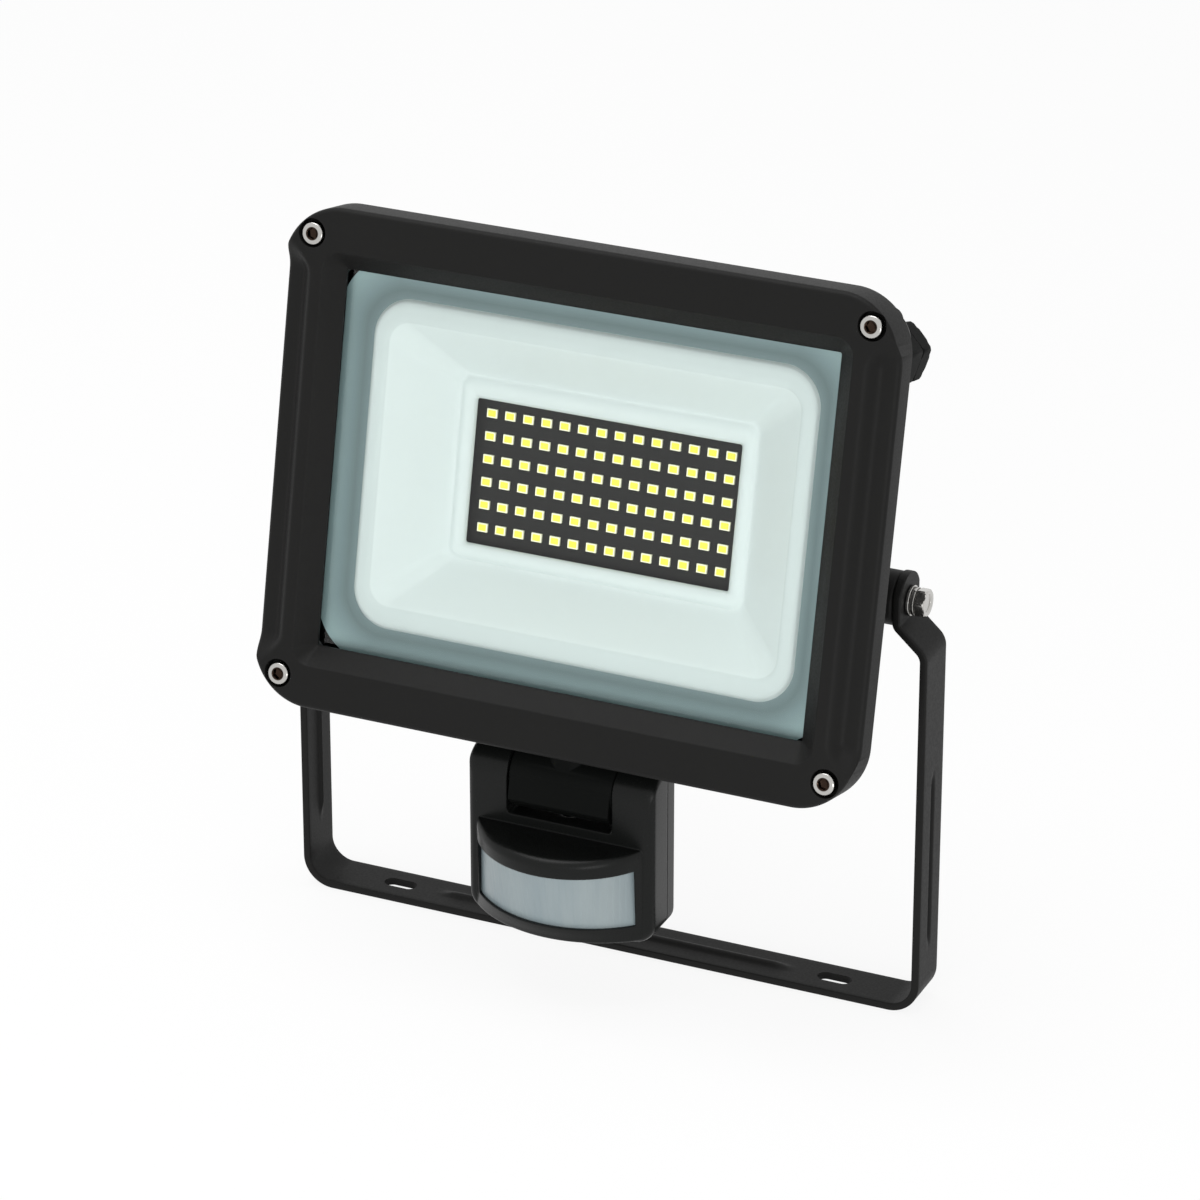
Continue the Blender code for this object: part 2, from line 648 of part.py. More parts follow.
def build_pivot_hardware(head):
    """Bolt, spring washer and flat washer at each ear. The bolt screws into the head's lug."""
    for side, turn, name in ((-1, ALONG_MINUS_X, "left"), (1, ALONG_X, "right")):
        piece("flat_washer_" + name,
              tube(BOLT_RADIUS + HOLE_PLAY, WASHER_RADIUS, 0, WASHER_THICK, MEDIUM_SIDES),
              STAINLESS, head, (side * WASHER_X, 0, 0), turn)
        piece("spring_washer_" + name, spring_washer(), STAINLESS, head,
              (side * SPRING_X, 0, 0), turn)
        bolt = piece("pivot_bolt_" + name, hex_bolt(), STAINLESS, head,
                     (side * BOLT_X, 0, 0), turn)
        cut(bolt, "dish", rod(BOLT_DISH_RADIUS, BOLT_HEAD_HEIGHT - BOLT_DISH_DEPTH,
                              BOLT_HEAD_HEIGHT + MM, SMALL_SIDES))


def spring_washer():
    """A split ring of square section with a narrow slanting gap."""
    inner = BOLT_RADIUS + HOLE_PLAY
    slant = SPRING_SPLIT / 2
    rings = []
    for i in range(MEDIUM_SIDES + 1):
        share = i / MEDIUM_SIDES
        ring = []
        for radius, h in ((inner, 0), (SPRING_RADIUS, 0), (SPRING_RADIUS, SPRING_THICK),
                          (inner, SPRING_THICK)):
            angle = SPRING_SPLIT / 2 + share * (2 * math.pi - SPRING_SPLIT)
            angle += slant * (h / SPRING_THICK - 0.5)
            ring.append((radius * math.cos(angle), radius * math.sin(angle), h))
        rings.append(ring)
    return loft(rings)


def hex_bolt():
    """Hexagon head with chamfered corners on +Z, shank towards -Z."""
    chamfer = BOLT_FLATS * 0.51
    shank = circle(BOLT_RADIUS, SMALL_SIDES)
    layers = [(circle(BOLT_RADIUS - 0.5 * MM, SMALL_SIDES), -BOLT_LENGTH),
              (shank, -BOLT_LENGTH + 0.5 * MM),
              (shank, 0.0),
              (hexagon(BOLT_FLATS), 0.0),
              (hexagon(BOLT_FLATS), BOLT_HEAD_HEIGHT - 0.5 * MM),
              (hexagon(BOLT_FLATS, chamfer), BOLT_HEAD_HEIGHT)]
    return stacked(layers)


# Head

def build_front_frame(head):
    """Cast frame: bevelled window lip, raised corner pads and a scoop down each side."""
    front = rounded_rectangle(FRAME_HALF_W - FRAME_EDGE_SIDE, FRAME_HALF_H - FRAME_EDGE,
                              FRAME_CORNER - FRAME_EDGE)
    shoulder = rounded_rectangle(FRAME_HALF_W - 0.3 * FRAME_EDGE_SIDE,
                                 FRAME_HALF_H - 0.3 * FRAME_EDGE, FRAME_CORNER)
    window = rounded_rectangle(WINDOW_HALF_W, WINDOW_HALF_H, WINDOW_CORNER)
    pocket = inset_outline(POCKET_INSET, POCKET_CORNER)
    layers = [
        (inset_outline(0.0), FRAME_DEPTH),
        (inset_outline(0.0), FRAME_EDGE_SIDE),
        (shoulder, 0.35 * FRAME_EDGE),
        (front, 0.0),
        (inset_outline(LIP_INSET), 0.0),
        (window, LIP_DEPTH - LIP_LAND),
        (window, LIP_DEPTH),
        (pocket, LIP_DEPTH),
        (pocket, FRAME_DEPTH),
    ]
    frame = piece("front_frame", head_stack(layers, closed=True), BLACK_PAINT, head)
    cut(frame, "scoops", together([scoop(-1), scoop(1)]))
    groove_t = FRAME_DEPTH - SEAL_THICK - GAP
    inner = SEAL_INSET + SEAL_WIDTH + GAP
    outer = SEAL_INSET - GAP
    corner = SEAL_CORNER + GAP
    cut(frame, "seal_groove", head_stack([
        (inset_outline(outer, corner), groove_t),
        (inset_outline(outer, corner), FRAME_DEPTH + MM),
        (inset_outline(inner, corner - inner + outer), FRAME_DEPTH + MM),
        (inset_outline(inner, corner - inner + outer), groove_t)], closed=True))
    seat = SCREW_SINK + SCREW_HEAD_HEIGHT + GAP
    cut(frame, "counterbores", together([
        moved(turned([(COUNTERBORE_RADIUS, -MM), (COUNTERBORE_RADIUS, seat),
                      (SCREW_RADIUS + HOLE_PLAY, seat),
                      (SCREW_RADIUS + HOLE_PLAY, FRAME_DEPTH + MM)], MEDIUM_SIDES),
              (x, FRONT_Y, CENTRE_Z + z), ALONG_Y)
        for x, z in at_corners(SCREW_X, SCREW_Z)]))


def scoop(side):
    """What is scooped from one side of the frame between its corner pads.

    Across it, a cove falls from the lip to a flat floor whose outer edge is rounded. Along
    it, the ends rise in coves to the pads and flare outwards.
    """
    quarter = [math.radians(30 * i) for i in range(4)]
    across = [(SCOOP_START + SCOOP_COVE * (1 - math.cos(a)), SCOOP_DEPTH * math.sin(a))
              for a in quarter]
    edge_x = FRAME_HALF_W - SCOOP_EDGE
    across += [(edge_x + SCOOP_EDGE * math.sin(a), SCOOP_DEPTH + SCOOP_EDGE * (1 - math.cos(a)))
               for a in quarter]
    outside = FRAME_HALF_W + 3 * MM
    across.append((outside, SCOOP_DEPTH + SCOOP_EDGE))
    ends = [(math.sin(a), math.cos(a)) for a in quarter]
    stations = [(-1, share, depth) for share, depth in reversed(ends)]
    stations += [(1, share, depth) for share, depth in ends]
    rings = []
    for end, share, depth in stations:
        ring = []
        for x, t in across + [(outside, -MM), (SCOOP_START, -MM)]:
            flare = SCOOP_FLARE * (x - SCOOP_START)
            z = end * (SCOOP_HALF_LENGTH + flare + share * SCOOP_RAMP * (1 + 0.05 * flare / MM))
            ring.append((side * x, FRONT_Y + (t * depth if t > 0 else t), CENTRE_Z + z))
        rings.append(ring)
    return loft(rings)


def build_glass(head):
    """The pane and its gasket behind the window lip, and the seal behind the frame."""
    edge = POCKET_INSET + GAP
    corner = POCKET_CORNER - GAP
    inner = edge + GASKET_WIDTH
    piece("glass_gasket", head_stack([
        (inset_outline(edge, corner), GASKET_T),
        (inset_outline(edge, corner), GASKET_T + GASKET_THICK),
        (inset_outline(inner, corner - GASKET_WIDTH), GASKET_T + GASKET_THICK),
        (inset_outline(inner, corner - GASKET_WIDTH), GASKET_T)], closed=True), RUBBER, head)
    piece("glass_pane", head_stack([
        (inset_outline(edge, corner), GLASS_T),
        (inset_outline(edge, corner), GLASS_T + GLASS_THICK)]), CLEAR_GLASS, head)
    seal_t = FRAME_DEPTH - SEAL_THICK
    inner = SEAL_INSET + SEAL_WIDTH
    piece("housing_seal", head_stack([
        (inset_outline(SEAL_INSET, SEAL_CORNER), seal_t),
        (inset_outline(SEAL_INSET, SEAL_CORNER), FRAME_DEPTH),
        (inset_outline(inner, SEAL_CORNER - SEAL_WIDTH), FRAME_DEPTH),
        (inset_outline(inner, SEAL_CORNER - SEAL_WIDTH), seal_t)], closed=True), RUBBER, head)


def build_reflector(head):
    """Pressed reflector: brim, rolled rim, sloping walls and a ridge round the LED window."""
    def ring(half_w, half_h, corner, t):
        return rounded_rectangle(half_w, half_h, corner), t

    rim_in_w = REFLECTOR_HALF_W - REFLECTOR_RIM_W
    rim_in_h = REFLECTOR_HALF_H - REFLECTOR_RIM_H
    rim_in_corner = REFLECTOR_CORNER - REFLECTOR_RIM_W + MM
    brim_w = REFLECTOR_HALF_W + BRIM_WIDTH
    brim_h = REFLECTOR_HALF_H + BRIM_WIDTH
    brim_corner = REFLECTOR_CORNER + 0.5 * BRIM_WIDTH
    layers = [ring(brim_w, brim_h, brim_corner, BRIM_T)]
    for share, rise in ((0.0, 0.0), (0.05, 0.55), (0.15, 0.88), (0.35, 1.0), (0.65, 0.98),
                        (0.86, 0.8), (1.0, 0.42)):
        layers.append(ring(REFLECTOR_HALF_W - share * REFLECTOR_RIM_W,
                           REFLECTOR_HALF_H - share * REFLECTOR_RIM_H,
                           REFLECTOR_CORNER + share * (rim_in_corner - REFLECTOR_CORNER),
                           BRIM_T - rise * REFLECTOR_RIM_HEIGHT))
    layers.append(ring(BASIN_HALF_W, BASIN_HALF_H, BASIN_CORNER, BASIN_T))
    ridge_w = BASIN_HALF_W - APERTURE_HALF_W
    ridge_h = BASIN_HALF_H - APERTURE_HALF_H
    for share, rise in ((0.2, 0.7), (0.45, 1.0), (0.75, 0.6), (1.0, -0.75)):
        layers.append(ring(BASIN_HALF_W - share * ridge_w, BASIN_HALF_H - share * ridge_h,
                           BASIN_CORNER - share * 2 * MM, BASIN_T - rise * RIDGE_HEIGHT))
    foot_w = APERTURE_HALF_W + REFLECTOR_WALL
    foot_h = APERTURE_HALF_H + REFLECTOR_WALL
    back_corner = BASIN_CORNER + 0.5 * REFLECTOR_WALL
    back_t = BRIM_T + REFLECTOR_WALL
    layers += [
        ring(APERTURE_HALF_W, APERTURE_HALF_H, BASIN_CORNER - 2 * MM, FOOT_T),
        ring(foot_w, foot_h, back_corner, FOOT_T),
        ring(foot_w, foot_h, back_corner, BASIN_T + REFLECTOR_WALL),
        ring(BASIN_HALF_W + 0.8 * REFLECTOR_WALL, BASIN_HALF_H + 0.8 * REFLECTOR_WALL,
             back_corner, BASIN_T + REFLECTOR_WALL),
        ring(rim_in_w + REFLECTOR_WALL, rim_in_h + REFLECTOR_WALL,
             rim_in_corner + REFLECTOR_WALL, back_t),
        ring(brim_w, brim_h, brim_corner, back_t),
    ]
    piece("reflector", head_stack(layers, closed=True), WHITE_PLASTIC, head)


def build_led_board(head):
    """Flat board on the housing floor, with its field of LED packages and its four screws."""
    middle = CENTRE_Z - LED_DROP
    front = FRONT_Y + PCB_T
    board = piece("led_board", box(
        (-LED_BOARD_HALF_W, LED_BOARD_HALF_W), (front, front + PCB_THICK),
        (CENTRE_Z - LED_BOARD_HALF_H, CENTRE_Z + LED_BOARD_HALF_H)), BOARD_BLACK, head)
    chips = []
    for row in range(LED_ROWS):
        z = middle + (row - (LED_ROWS - 1) / 2) * LED_PITCH_Z
        for column in range(LED_COLUMNS):
            x = (column - (LED_COLUMNS - 1) / 2) * LED_PITCH_X
            chips.append(box((x - LED_WIDTH / 2, x + LED_WIDTH / 2),
                             (front - LED_THICK, front + PCB_THICK / 2),
                             (z - LED_HEIGHT / 2, z + LED_HEIGHT / 2)))
    join(board, "led_packages", together(chips))
    holes = [(x, CENTRE_Z + z) for x, z in at_corners(BOARD_SCREW_X, BOARD_SCREW_Z)]
    cut(board, "screw_holes", board_holes(holes, BOARD_SCREW_RADIUS + HOLE_PLAY))
    for number, (x, z) in enumerate(holes, 1):
        board_screw("board_screw_%d" % number, head, x, z)


def board_holes(places, radius):
    """Holes through a board on the housing floor, at (x, z) places."""
    return together([moved(rod(radius, -MM, PCB_THICK + MM, TINY_SIDES),
                           (x, FRONT_Y + PCB_T, z), ALONG_Y) for x, z in places])


def board_screw(name, head, x, z):
    """Small pan-head screw through a board into the housing floor."""
    length = PCB_THICK + 2 * GAP + BOARD_SCREW_GRIP
    screw = turned([(BOARD_SCREW_RADIUS, -length), (BOARD_SCREW_RADIUS, 0),
                    (BOARD_SCREW_HEAD, 0), (BOARD_SCREW_HEAD, 0.6 * BOARD_SCREW_HEAD_HEIGHT),
                    (0.6 * BOARD_SCREW_HEAD, BOARD_SCREW_HEAD_HEIGHT)], TINY_SIDES)
    piece(name, screw, STAINLESS, head, (x, FRONT_Y + PCB_T - GAP, z), ALONG_MINUS_Y)


def driver_screw_places():
    return [(DRIVER_X + side * (DRIVER_HALF_W - 3.0 * MM), CENTRE_Z + DRIVER_Z - 5.5 * MM)
            for side in (-1, 1)]


def build_driver(head):
    """The driver board and the terminal block for the supply, both on the housing floor."""
    front = FRONT_Y + PCB_T
    middle = CENTRE_Z + DRIVER_Z
    board = piece("driver_board", box(
        (DRIVER_X - DRIVER_HALF_W, DRIVER_X + DRIVER_HALF_W), (front, front + PCB_THICK),
        (middle - DRIVER_HALF_H, middle + DRIVER_HALF_H)), BOARD_GREEN, head)
    parts = []
    for x, width, height, thick in DRIVER_PARTS:
        parts.append(box((DRIVER_X + x - width / 2, DRIVER_X + x + width / 2),
                         (front - thick, front + PCB_THICK / 2),
                         (middle - height / 2, middle + height / 2)))
    join(board, "components", together(parts))
    cut(board, "screw_holes", board_holes(driver_screw_places(),
                                          BOARD_SCREW_RADIUS + HOLE_PLAY))
    for number, (x, z) in enumerate(driver_screw_places(), 1):
        board_screw("driver_screw_%d" % number, head, x, z)
    back = FRONT_Y + FLOOR_T - GAP
    low = CENTRE_Z + TERMINAL_Z - TERMINAL_HEIGHT / 2
    block = piece("terminal_block", box(
        (TERMINAL_X - TERMINAL_WIDTH / 2, TERMINAL_X + TERMINAL_WIDTH / 2),
        (back - TERMINAL_DEPTH, back), (low, low + TERMINAL_HEIGHT)), WHITE_PLASTIC, head)
    pitch = TERMINAL_WIDTH / TERMINAL_WAYS
    wells = []
    for way in range(TERMINAL_WAYS):
        x = TERMINAL_X + (way - (TERMINAL_WAYS - 1) / 2) * pitch
        wells.append(moved(rod(0.3 * pitch, -MM, 0.55 * TERMINAL_DEPTH, SMALL_SIDES),
                           (x, back - TERMINAL_DEPTH, low + 0.6 * TERMINAL_HEIGHT), ALONG_Y))
    cut(block, "screw_wells", together(wells))


def build_rear_housing(head):
    """Cast tray with its flange, cooling fins, pivot lugs and neck boss."""
    floor_inset = CAVITY_INSET + TRAY_TAPER
    back_inset = TRAY_INSET + TRAY_TAPER
    layers = [
        (inset_outline(floor_inset, CAVITY_CORNER - TRAY_TAPER), FLOOR_T),
        (inset_outline(CAVITY_INSET, CAVITY_CORNER), FLANGE_T),
        (inset_outline(FLANGE_INSET), FLANGE_T),
        (inset_outline(FLANGE_INSET), FLANGE_T + FLANGE_THICK),
        (inset_outline(TRAY_INSET), FLANGE_T + FLANGE_THICK),
        (inset_outline(back_inset - 0.3 * TRAY_EDGE), BACK_T - TRAY_EDGE),
        (inset_outline(back_inset + 0.3 * TRAY_EDGE), BACK_T - 0.3 * TRAY_EDGE),
        (inset_outline(back_inset + TRAY_EDGE), BACK_T),
    ]
    housing = piece("rear_housing", head_stack(layers), BLACK_PAINT, head)
    join(housing, "fins", together(fins()))
    lug = LUG_END - LUG_START
    join(housing, "lugs", together([
        moved(turned([(LUG_RADIUS, 0), (LUG_RADIUS, lug - 0.6 * MM),
                      (LUG_RADIUS - 0.6 * MM, lug)]), (side * LUG_START, 0, 0), turn)
        for side, turn in ((-1, ALONG_MINUS_X), (1, ALONG_X))]))
    join(housing, "neck_boss", moved(rod(NECK_BOSS_RADIUS, NECK_BOSS_BOTTOM, NECK_BOSS_TOP),
                                     (0, NECK_Y, 0)))
    join(housing, "screw_bosses", together([
        moved(rod(SCREW_BOSS_RADIUS, FLANGE_T + MM, SCREW_BOSS_END, MEDIUM_SIDES),
              (x, FRONT_Y, CENTRE_Z + z), ALONG_Y) for x, z in at_corners(SCREW_X, SCREW_Z)]))
    bolt_end = BOLT_X - BOLT_LENGTH - MM
    holes = [moved(rod(BOLT_RADIUS + HOLE_PLAY, bolt_end, LUG_END + MM, SMALL_SIDES),
                   (0, 0, 0), turn) for turn in (ALONG_X, ALONG_MINUS_X)]
    holes.append(moved(rod(NECK_SHAFT_RADIUS + HOLE_PLAY, NECK_BOSS_BOTTOM - MM,
                           NECK_BOSS_TOP + MM), (0, NECK_Y, 0)))
    ring_seat = BACK_T - GLAND_RING_THICK
    holes.append(moved(turned([(GLAND_THREAD + HOLE_PLAY, BACK_T - 11 * MM),
                               (GLAND_THREAD + HOLE_PLAY, ring_seat),
                               (GLAND_RING_RADIUS + GAP, ring_seat),
                               (GLAND_RING_RADIUS + GAP, BACK_T + MM)]),
                       (GLAND_X, FRONT_Y, CENTRE_Z + GLAND_Z), ALONG_Y))
    screw_end = SCREW_SINK + SCREW_HEAD_HEIGHT + SCREW_LENGTH + MM
    for x, z in at_corners(SCREW_X, SCREW_Z):
        holes.append(moved(rod(SCREW_RADIUS + HOLE_PLAY, FLANGE_T - MM, screw_end, SMALL_SIDES),
                           (x, FRONT_Y, CENTRE_Z + z), ALONG_Y))
    small = [(x, CENTRE_Z + z) for x, z in at_corners(BOARD_SCREW_X, BOARD_SCREW_Z)]
    for x, z in small + driver_screw_places():
        holes.append(moved(rod(BOARD_SCREW_RADIUS + HOLE_PLAY, FLOOR_T - MM,
                               FLOOR_T + BOARD_SCREW_GRIP + 0.5 * MM, TINY_SIDES),
                           (x, FRONT_Y, z), ALONG_Y))
    cut(housing, "holes", together(holes))


def fins():
    """Upright tapered fins on the housing's back, with sloping ends."""
    solids = []
    root_y = BACK_Y - MM
    tip_y = BACK_Y + FIN_HEIGHT
    tip_half = FIN_HALF_LENGTH - FIN_END_SLOPE
    for number in range(FIN_COUNT):
        x = (number - (FIN_COUNT - 1) / 2) * FIN_PITCH
        outlines = []
        for half, thick, y in ((FIN_HALF_LENGTH, FIN_ROOT, root_y), (tip_half, FIN_TIP, tip_y)):
            outlines.append([(x + sx * thick / 2, y, CENTRE_Z + sz * half)
                             for sx, sz in ((-1, -1), (1, -1), (1, 1), (-1, 1))])
        solids.append(loft(outlines))
    return solids


def build_frame_screws(head):
    """Socket cap screws that hold the frame to the housing."""
    length = -SCREW_LENGTH
    chamfer = 0.5 * MM
    profile = [(SCREW_RADIUS - chamfer, length), (SCREW_RADIUS, length + chamfer),
               (SCREW_RADIUS, 0), (SCREW_HEAD_RADIUS, 0),
               (SCREW_HEAD_RADIUS, SCREW_HEAD_HEIGHT - chamfer),
               (SCREW_HEAD_RADIUS - chamfer, SCREW_HEAD_HEIGHT)]
    for number, (x, z) in enumerate(at_corners(SCREW_X, SCREW_Z), 1):
        y = FRONT_Y + SCREW_SINK + SCREW_HEAD_HEIGHT
        screw = piece("frame_screw_%d" % number, turned(profile, SMALL_SIDES), STAINLESS, head,
                      (x, y, CENTRE_Z + z), ALONG_MINUS_Y)
        cut(screw, "socket", stacked([
            (hexagon(SCREW_SOCKET_FLATS), SCREW_HEAD_HEIGHT - SCREW_SOCKET_DEPTH),
            (hexagon(SCREW_SOCKET_FLATS), SCREW_HEAD_HEIGHT + MM)]))


def build_gland(head):
    """Cable gland on the back: sealing ring, hexagon body, rubber seal and compression nut."""
    place = (GLAND_X, BACK_Y, CENTRE_Z + GLAND_Z)
    turn = ALONG_Y @ Matrix.Rotation(GLAND_TURN, 4, "Z")
    full_hex = hexagon(GLAND_FLATS, sides=MEDIUM_SIDES)
    cut_hex = hexagon(GLAND_FLATS, GLAND_FLATS * 0.515, MEDIUM_SIDES)
    piece("gland_ring", tube(GLAND_THREAD + HOLE_PLAY, GLAND_RING_RADIUS,
                             GAP - GLAND_RING_THICK, 0, MEDIUM_SIDES),
          RUBBER, head, place, turn)
    hex_top = GAP + GLAND_HEX_LENGTH
    neck_top = hex_top + GLAND_NECK_LENGTH
    seal_floor = neck_top - GLAND_SEAL_LENGTH
    bore = circle(GLAND_BORE, MEDIUM_SIDES)
    thread = circle(GLAND_THREAD, MEDIUM_SIDES)
    neck = circle(GLAND_NECK_RADIUS, MEDIUM_SIDES)
    seal_seat = circle(GLAND_SEAL_RADIUS + HOLE_PLAY, MEDIUM_SIDES)
    edge = 0.8 * MM
    body = [
        (bore, -GLAND_THREAD_LENGTH), (thread, -GLAND_THREAD_LENGTH), (thread, GAP),
        (cut_hex, GAP), (full_hex, GAP + edge), (full_hex, hex_top - edge), (cut_hex, hex_top),
        (neck, hex_top), (neck, neck_top), (seal_seat, neck_top),
        (seal_seat, seal_floor - GAP), (bore, seal_floor - GAP),
    ]
    piece("gland_body", stacked(body, closed=True), BLACK_PLASTIC, head, place, turn)
    piece("gland_seal", tube(GLAND_SEAL_BORE, GLAND_SEAL_RADIUS, seal_floor, neck_top,
                             MEDIUM_SIDES), RUBBER, head, place, turn)
    nut_low = hex_top + GAP
    nut_top = nut_low + GLAND_NUT_LENGTH
    socket = circle(GLAND_NECK_RADIUS + HOLE_PLAY, MEDIUM_SIDES)
    mouth = circle(GLAND_MOUTH, MEDIUM_SIDES)
    end = circle(GLAND_FLATS * 0.42, MEDIUM_SIDES)
    nut = [
        (socket, nut_low), (cut_hex, nut_low), (full_hex, nut_low + edge),
        (full_hex, nut_top - 2.5 * edge), (cut_hex, nut_top - 1.2 * edge), (end, nut_top),
        (mouth, nut_top), (mouth, nut_top - GLAND_NUT_END), (socket, nut_top - GLAND_NUT_END),
    ]
    piece("gland_nut", stacked(nut, closed=True), BLACK_PLASTIC, head, place, turn)


# Sensor

def build_neck(head, swivel):
    """The neck that swivels in the housing's boss, with its seal and its nut.

    Neck, knuckle and stub pins are one moulding, drawn from the knuckle's centre up.
    """
    boss_bottom = NECK_BOSS_BOTTOM - KNUCKLE_Z
    collar_top = boss_bottom - 2 * GAP - NECK_SEAL_THICK
    nut_low = NECK_BOSS_TOP - KNUCKLE_Z + GAP
    shaft_top = nut_low + NECK_NUT_THICK + NECK_SHAFT_PROUD
    collar_low = collar_top - COLLAR_THICK
    neck = piece("sensor_neck", turned([
        (NECK_RADIUS, 0), (NECK_RADIUS, collar_low), (COLLAR_RADIUS, collar_low),
        (COLLAR_RADIUS, collar_top), (NECK_SHAFT_RADIUS, collar_top),
        (NECK_SHAFT_RADIUS, shaft_top)]), BLACK_PLASTIC, swivel)
    half = NOTCH_HALF_W - 0.5 * MM
    edge = 0.5 * MM
    knuckle = [(PIN_RADIUS, -half - PIN_LENGTH), (PIN_RADIUS, -half),
               (KNUCKLE_RADIUS - edge, -half), (KNUCKLE_RADIUS, -half + edge),
               (KNUCKLE_RADIUS, half - edge), (KNUCKLE_RADIUS - edge, half),
               (PIN_RADIUS, half), (PIN_RADIUS, half + PIN_LENGTH)]
    join(neck, "knuckle", moved(turned(knuckle), (0, 0, 0), ALONG_X))
    cut(neck, "wire_bore", rod(NECK_BORE, -KNUCKLE_RADIUS - MM, shaft_top + MM, SMALL_SIDES))
    seal_low = collar_top + GAP
    piece("neck_seal", tube(NECK_SHAFT_RADIUS + HOLE_PLAY, COLLAR_RADIUS, seal_low,
                            seal_low + NECK_SEAL_THICK, MEDIUM_SIDES),
          RUBBER, head, (0, NECK_Y, KNUCKLE_Z))
    bore = circle(NECK_SHAFT_RADIUS + HOLE_PLAY, MEDIUM_SIDES)
    nut_high = nut_low + NECK_NUT_THICK
    piece("neck_nut", stacked([(bore, nut_low), (hexagon(NECK_NUT_FLATS, sides=MEDIUM_SIDES), nut_low),
                               (hexagon(NECK_NUT_FLATS, sides=MEDIUM_SIDES), nut_high), (bore, nut_high)],
                              closed=True), BLACK_PLASTIC, swivel)


def sensor_profile(inset):
    """Side profile of the sensor, as (y, z): round top about the axis, rounded bottom."""
    radius = SENSOR_HALF_DEPTH - inset
    low = SENSOR_BOTTOM + inset
    corner = SENSOR_ROUND - 0.8 * inset
    points = [(radius * math.cos(math.radians(a)), radius * math.sin(math.radians(a)))
              for a in range(0, 181, 18)]
    for quarter, y in ((2, -radius + corner), (3, radius - corner)):
        for i in range(4):
            angle = math.radians(90 * quarter + 30 * i)
            points.append((y + corner * math.cos(angle), low + corner + corner * math.sin(angle)))
    return points


def sensor_block():
    """The sensor's whole outer body, lofted along X with rounded ends."""
    rings = []
    for side in (-1, 1):
        steps = [math.radians(30 * i) for i in range(4)]
        for angle in (reversed(steps) if side < 0 else steps):
            x = side * (SENSOR_HALF_W - SENSOR_ROUND * (1 - math.sin(angle)))
            inset = SENSOR_ROUND * (1 - math.cos(angle))
            rings.append([(x, y, z) for y, z in sensor_profile(inset)])
    return loft(rings)


def bulge_layers(stations, root_y):
    """Bowed front as a loft up Z: stations are (z, chord, bulge), closed along root_y."""
    layers = []
    for z, chord, bulge in stations:
        arc = bow_arc(chord, bulge, -SENSOR_HALF_DEPTH)
        layers.append((arc + [(chord, root_y), (-chord, root_y)], z))
    return stacked(layers)


def lens_bulge(z):
    """How far the lens bows out at height z."""
    share = (z - LENS_BOTTOM) / (LENS_TOP - LENS_BOTTOM)
    return LENS_BOTTOM_BULGE + share * (LENS_TOP_BULGE - LENS_BOTTOM_BULGE)


def pin_bore(radius, half_length):
    return moved(rod(radius, -half_length, half_length), (0, 0, 0), ALONG_X)


def notch():
    """Gap between the ears, open above, in front and behind."""
    deep = 2 * SENSOR_HALF_DEPTH
    return box((-NOTCH_HALF_W, NOTCH_HALF_W), (-deep, deep), (NOTCH_FLOOR, deep))


def cover_screw_places():
    return [(side * COVER_SCREW_X, z) for z in (COVER_SCREW_HIGH, COVER_SCREW_LOW)
            for side in (-1, 1)]


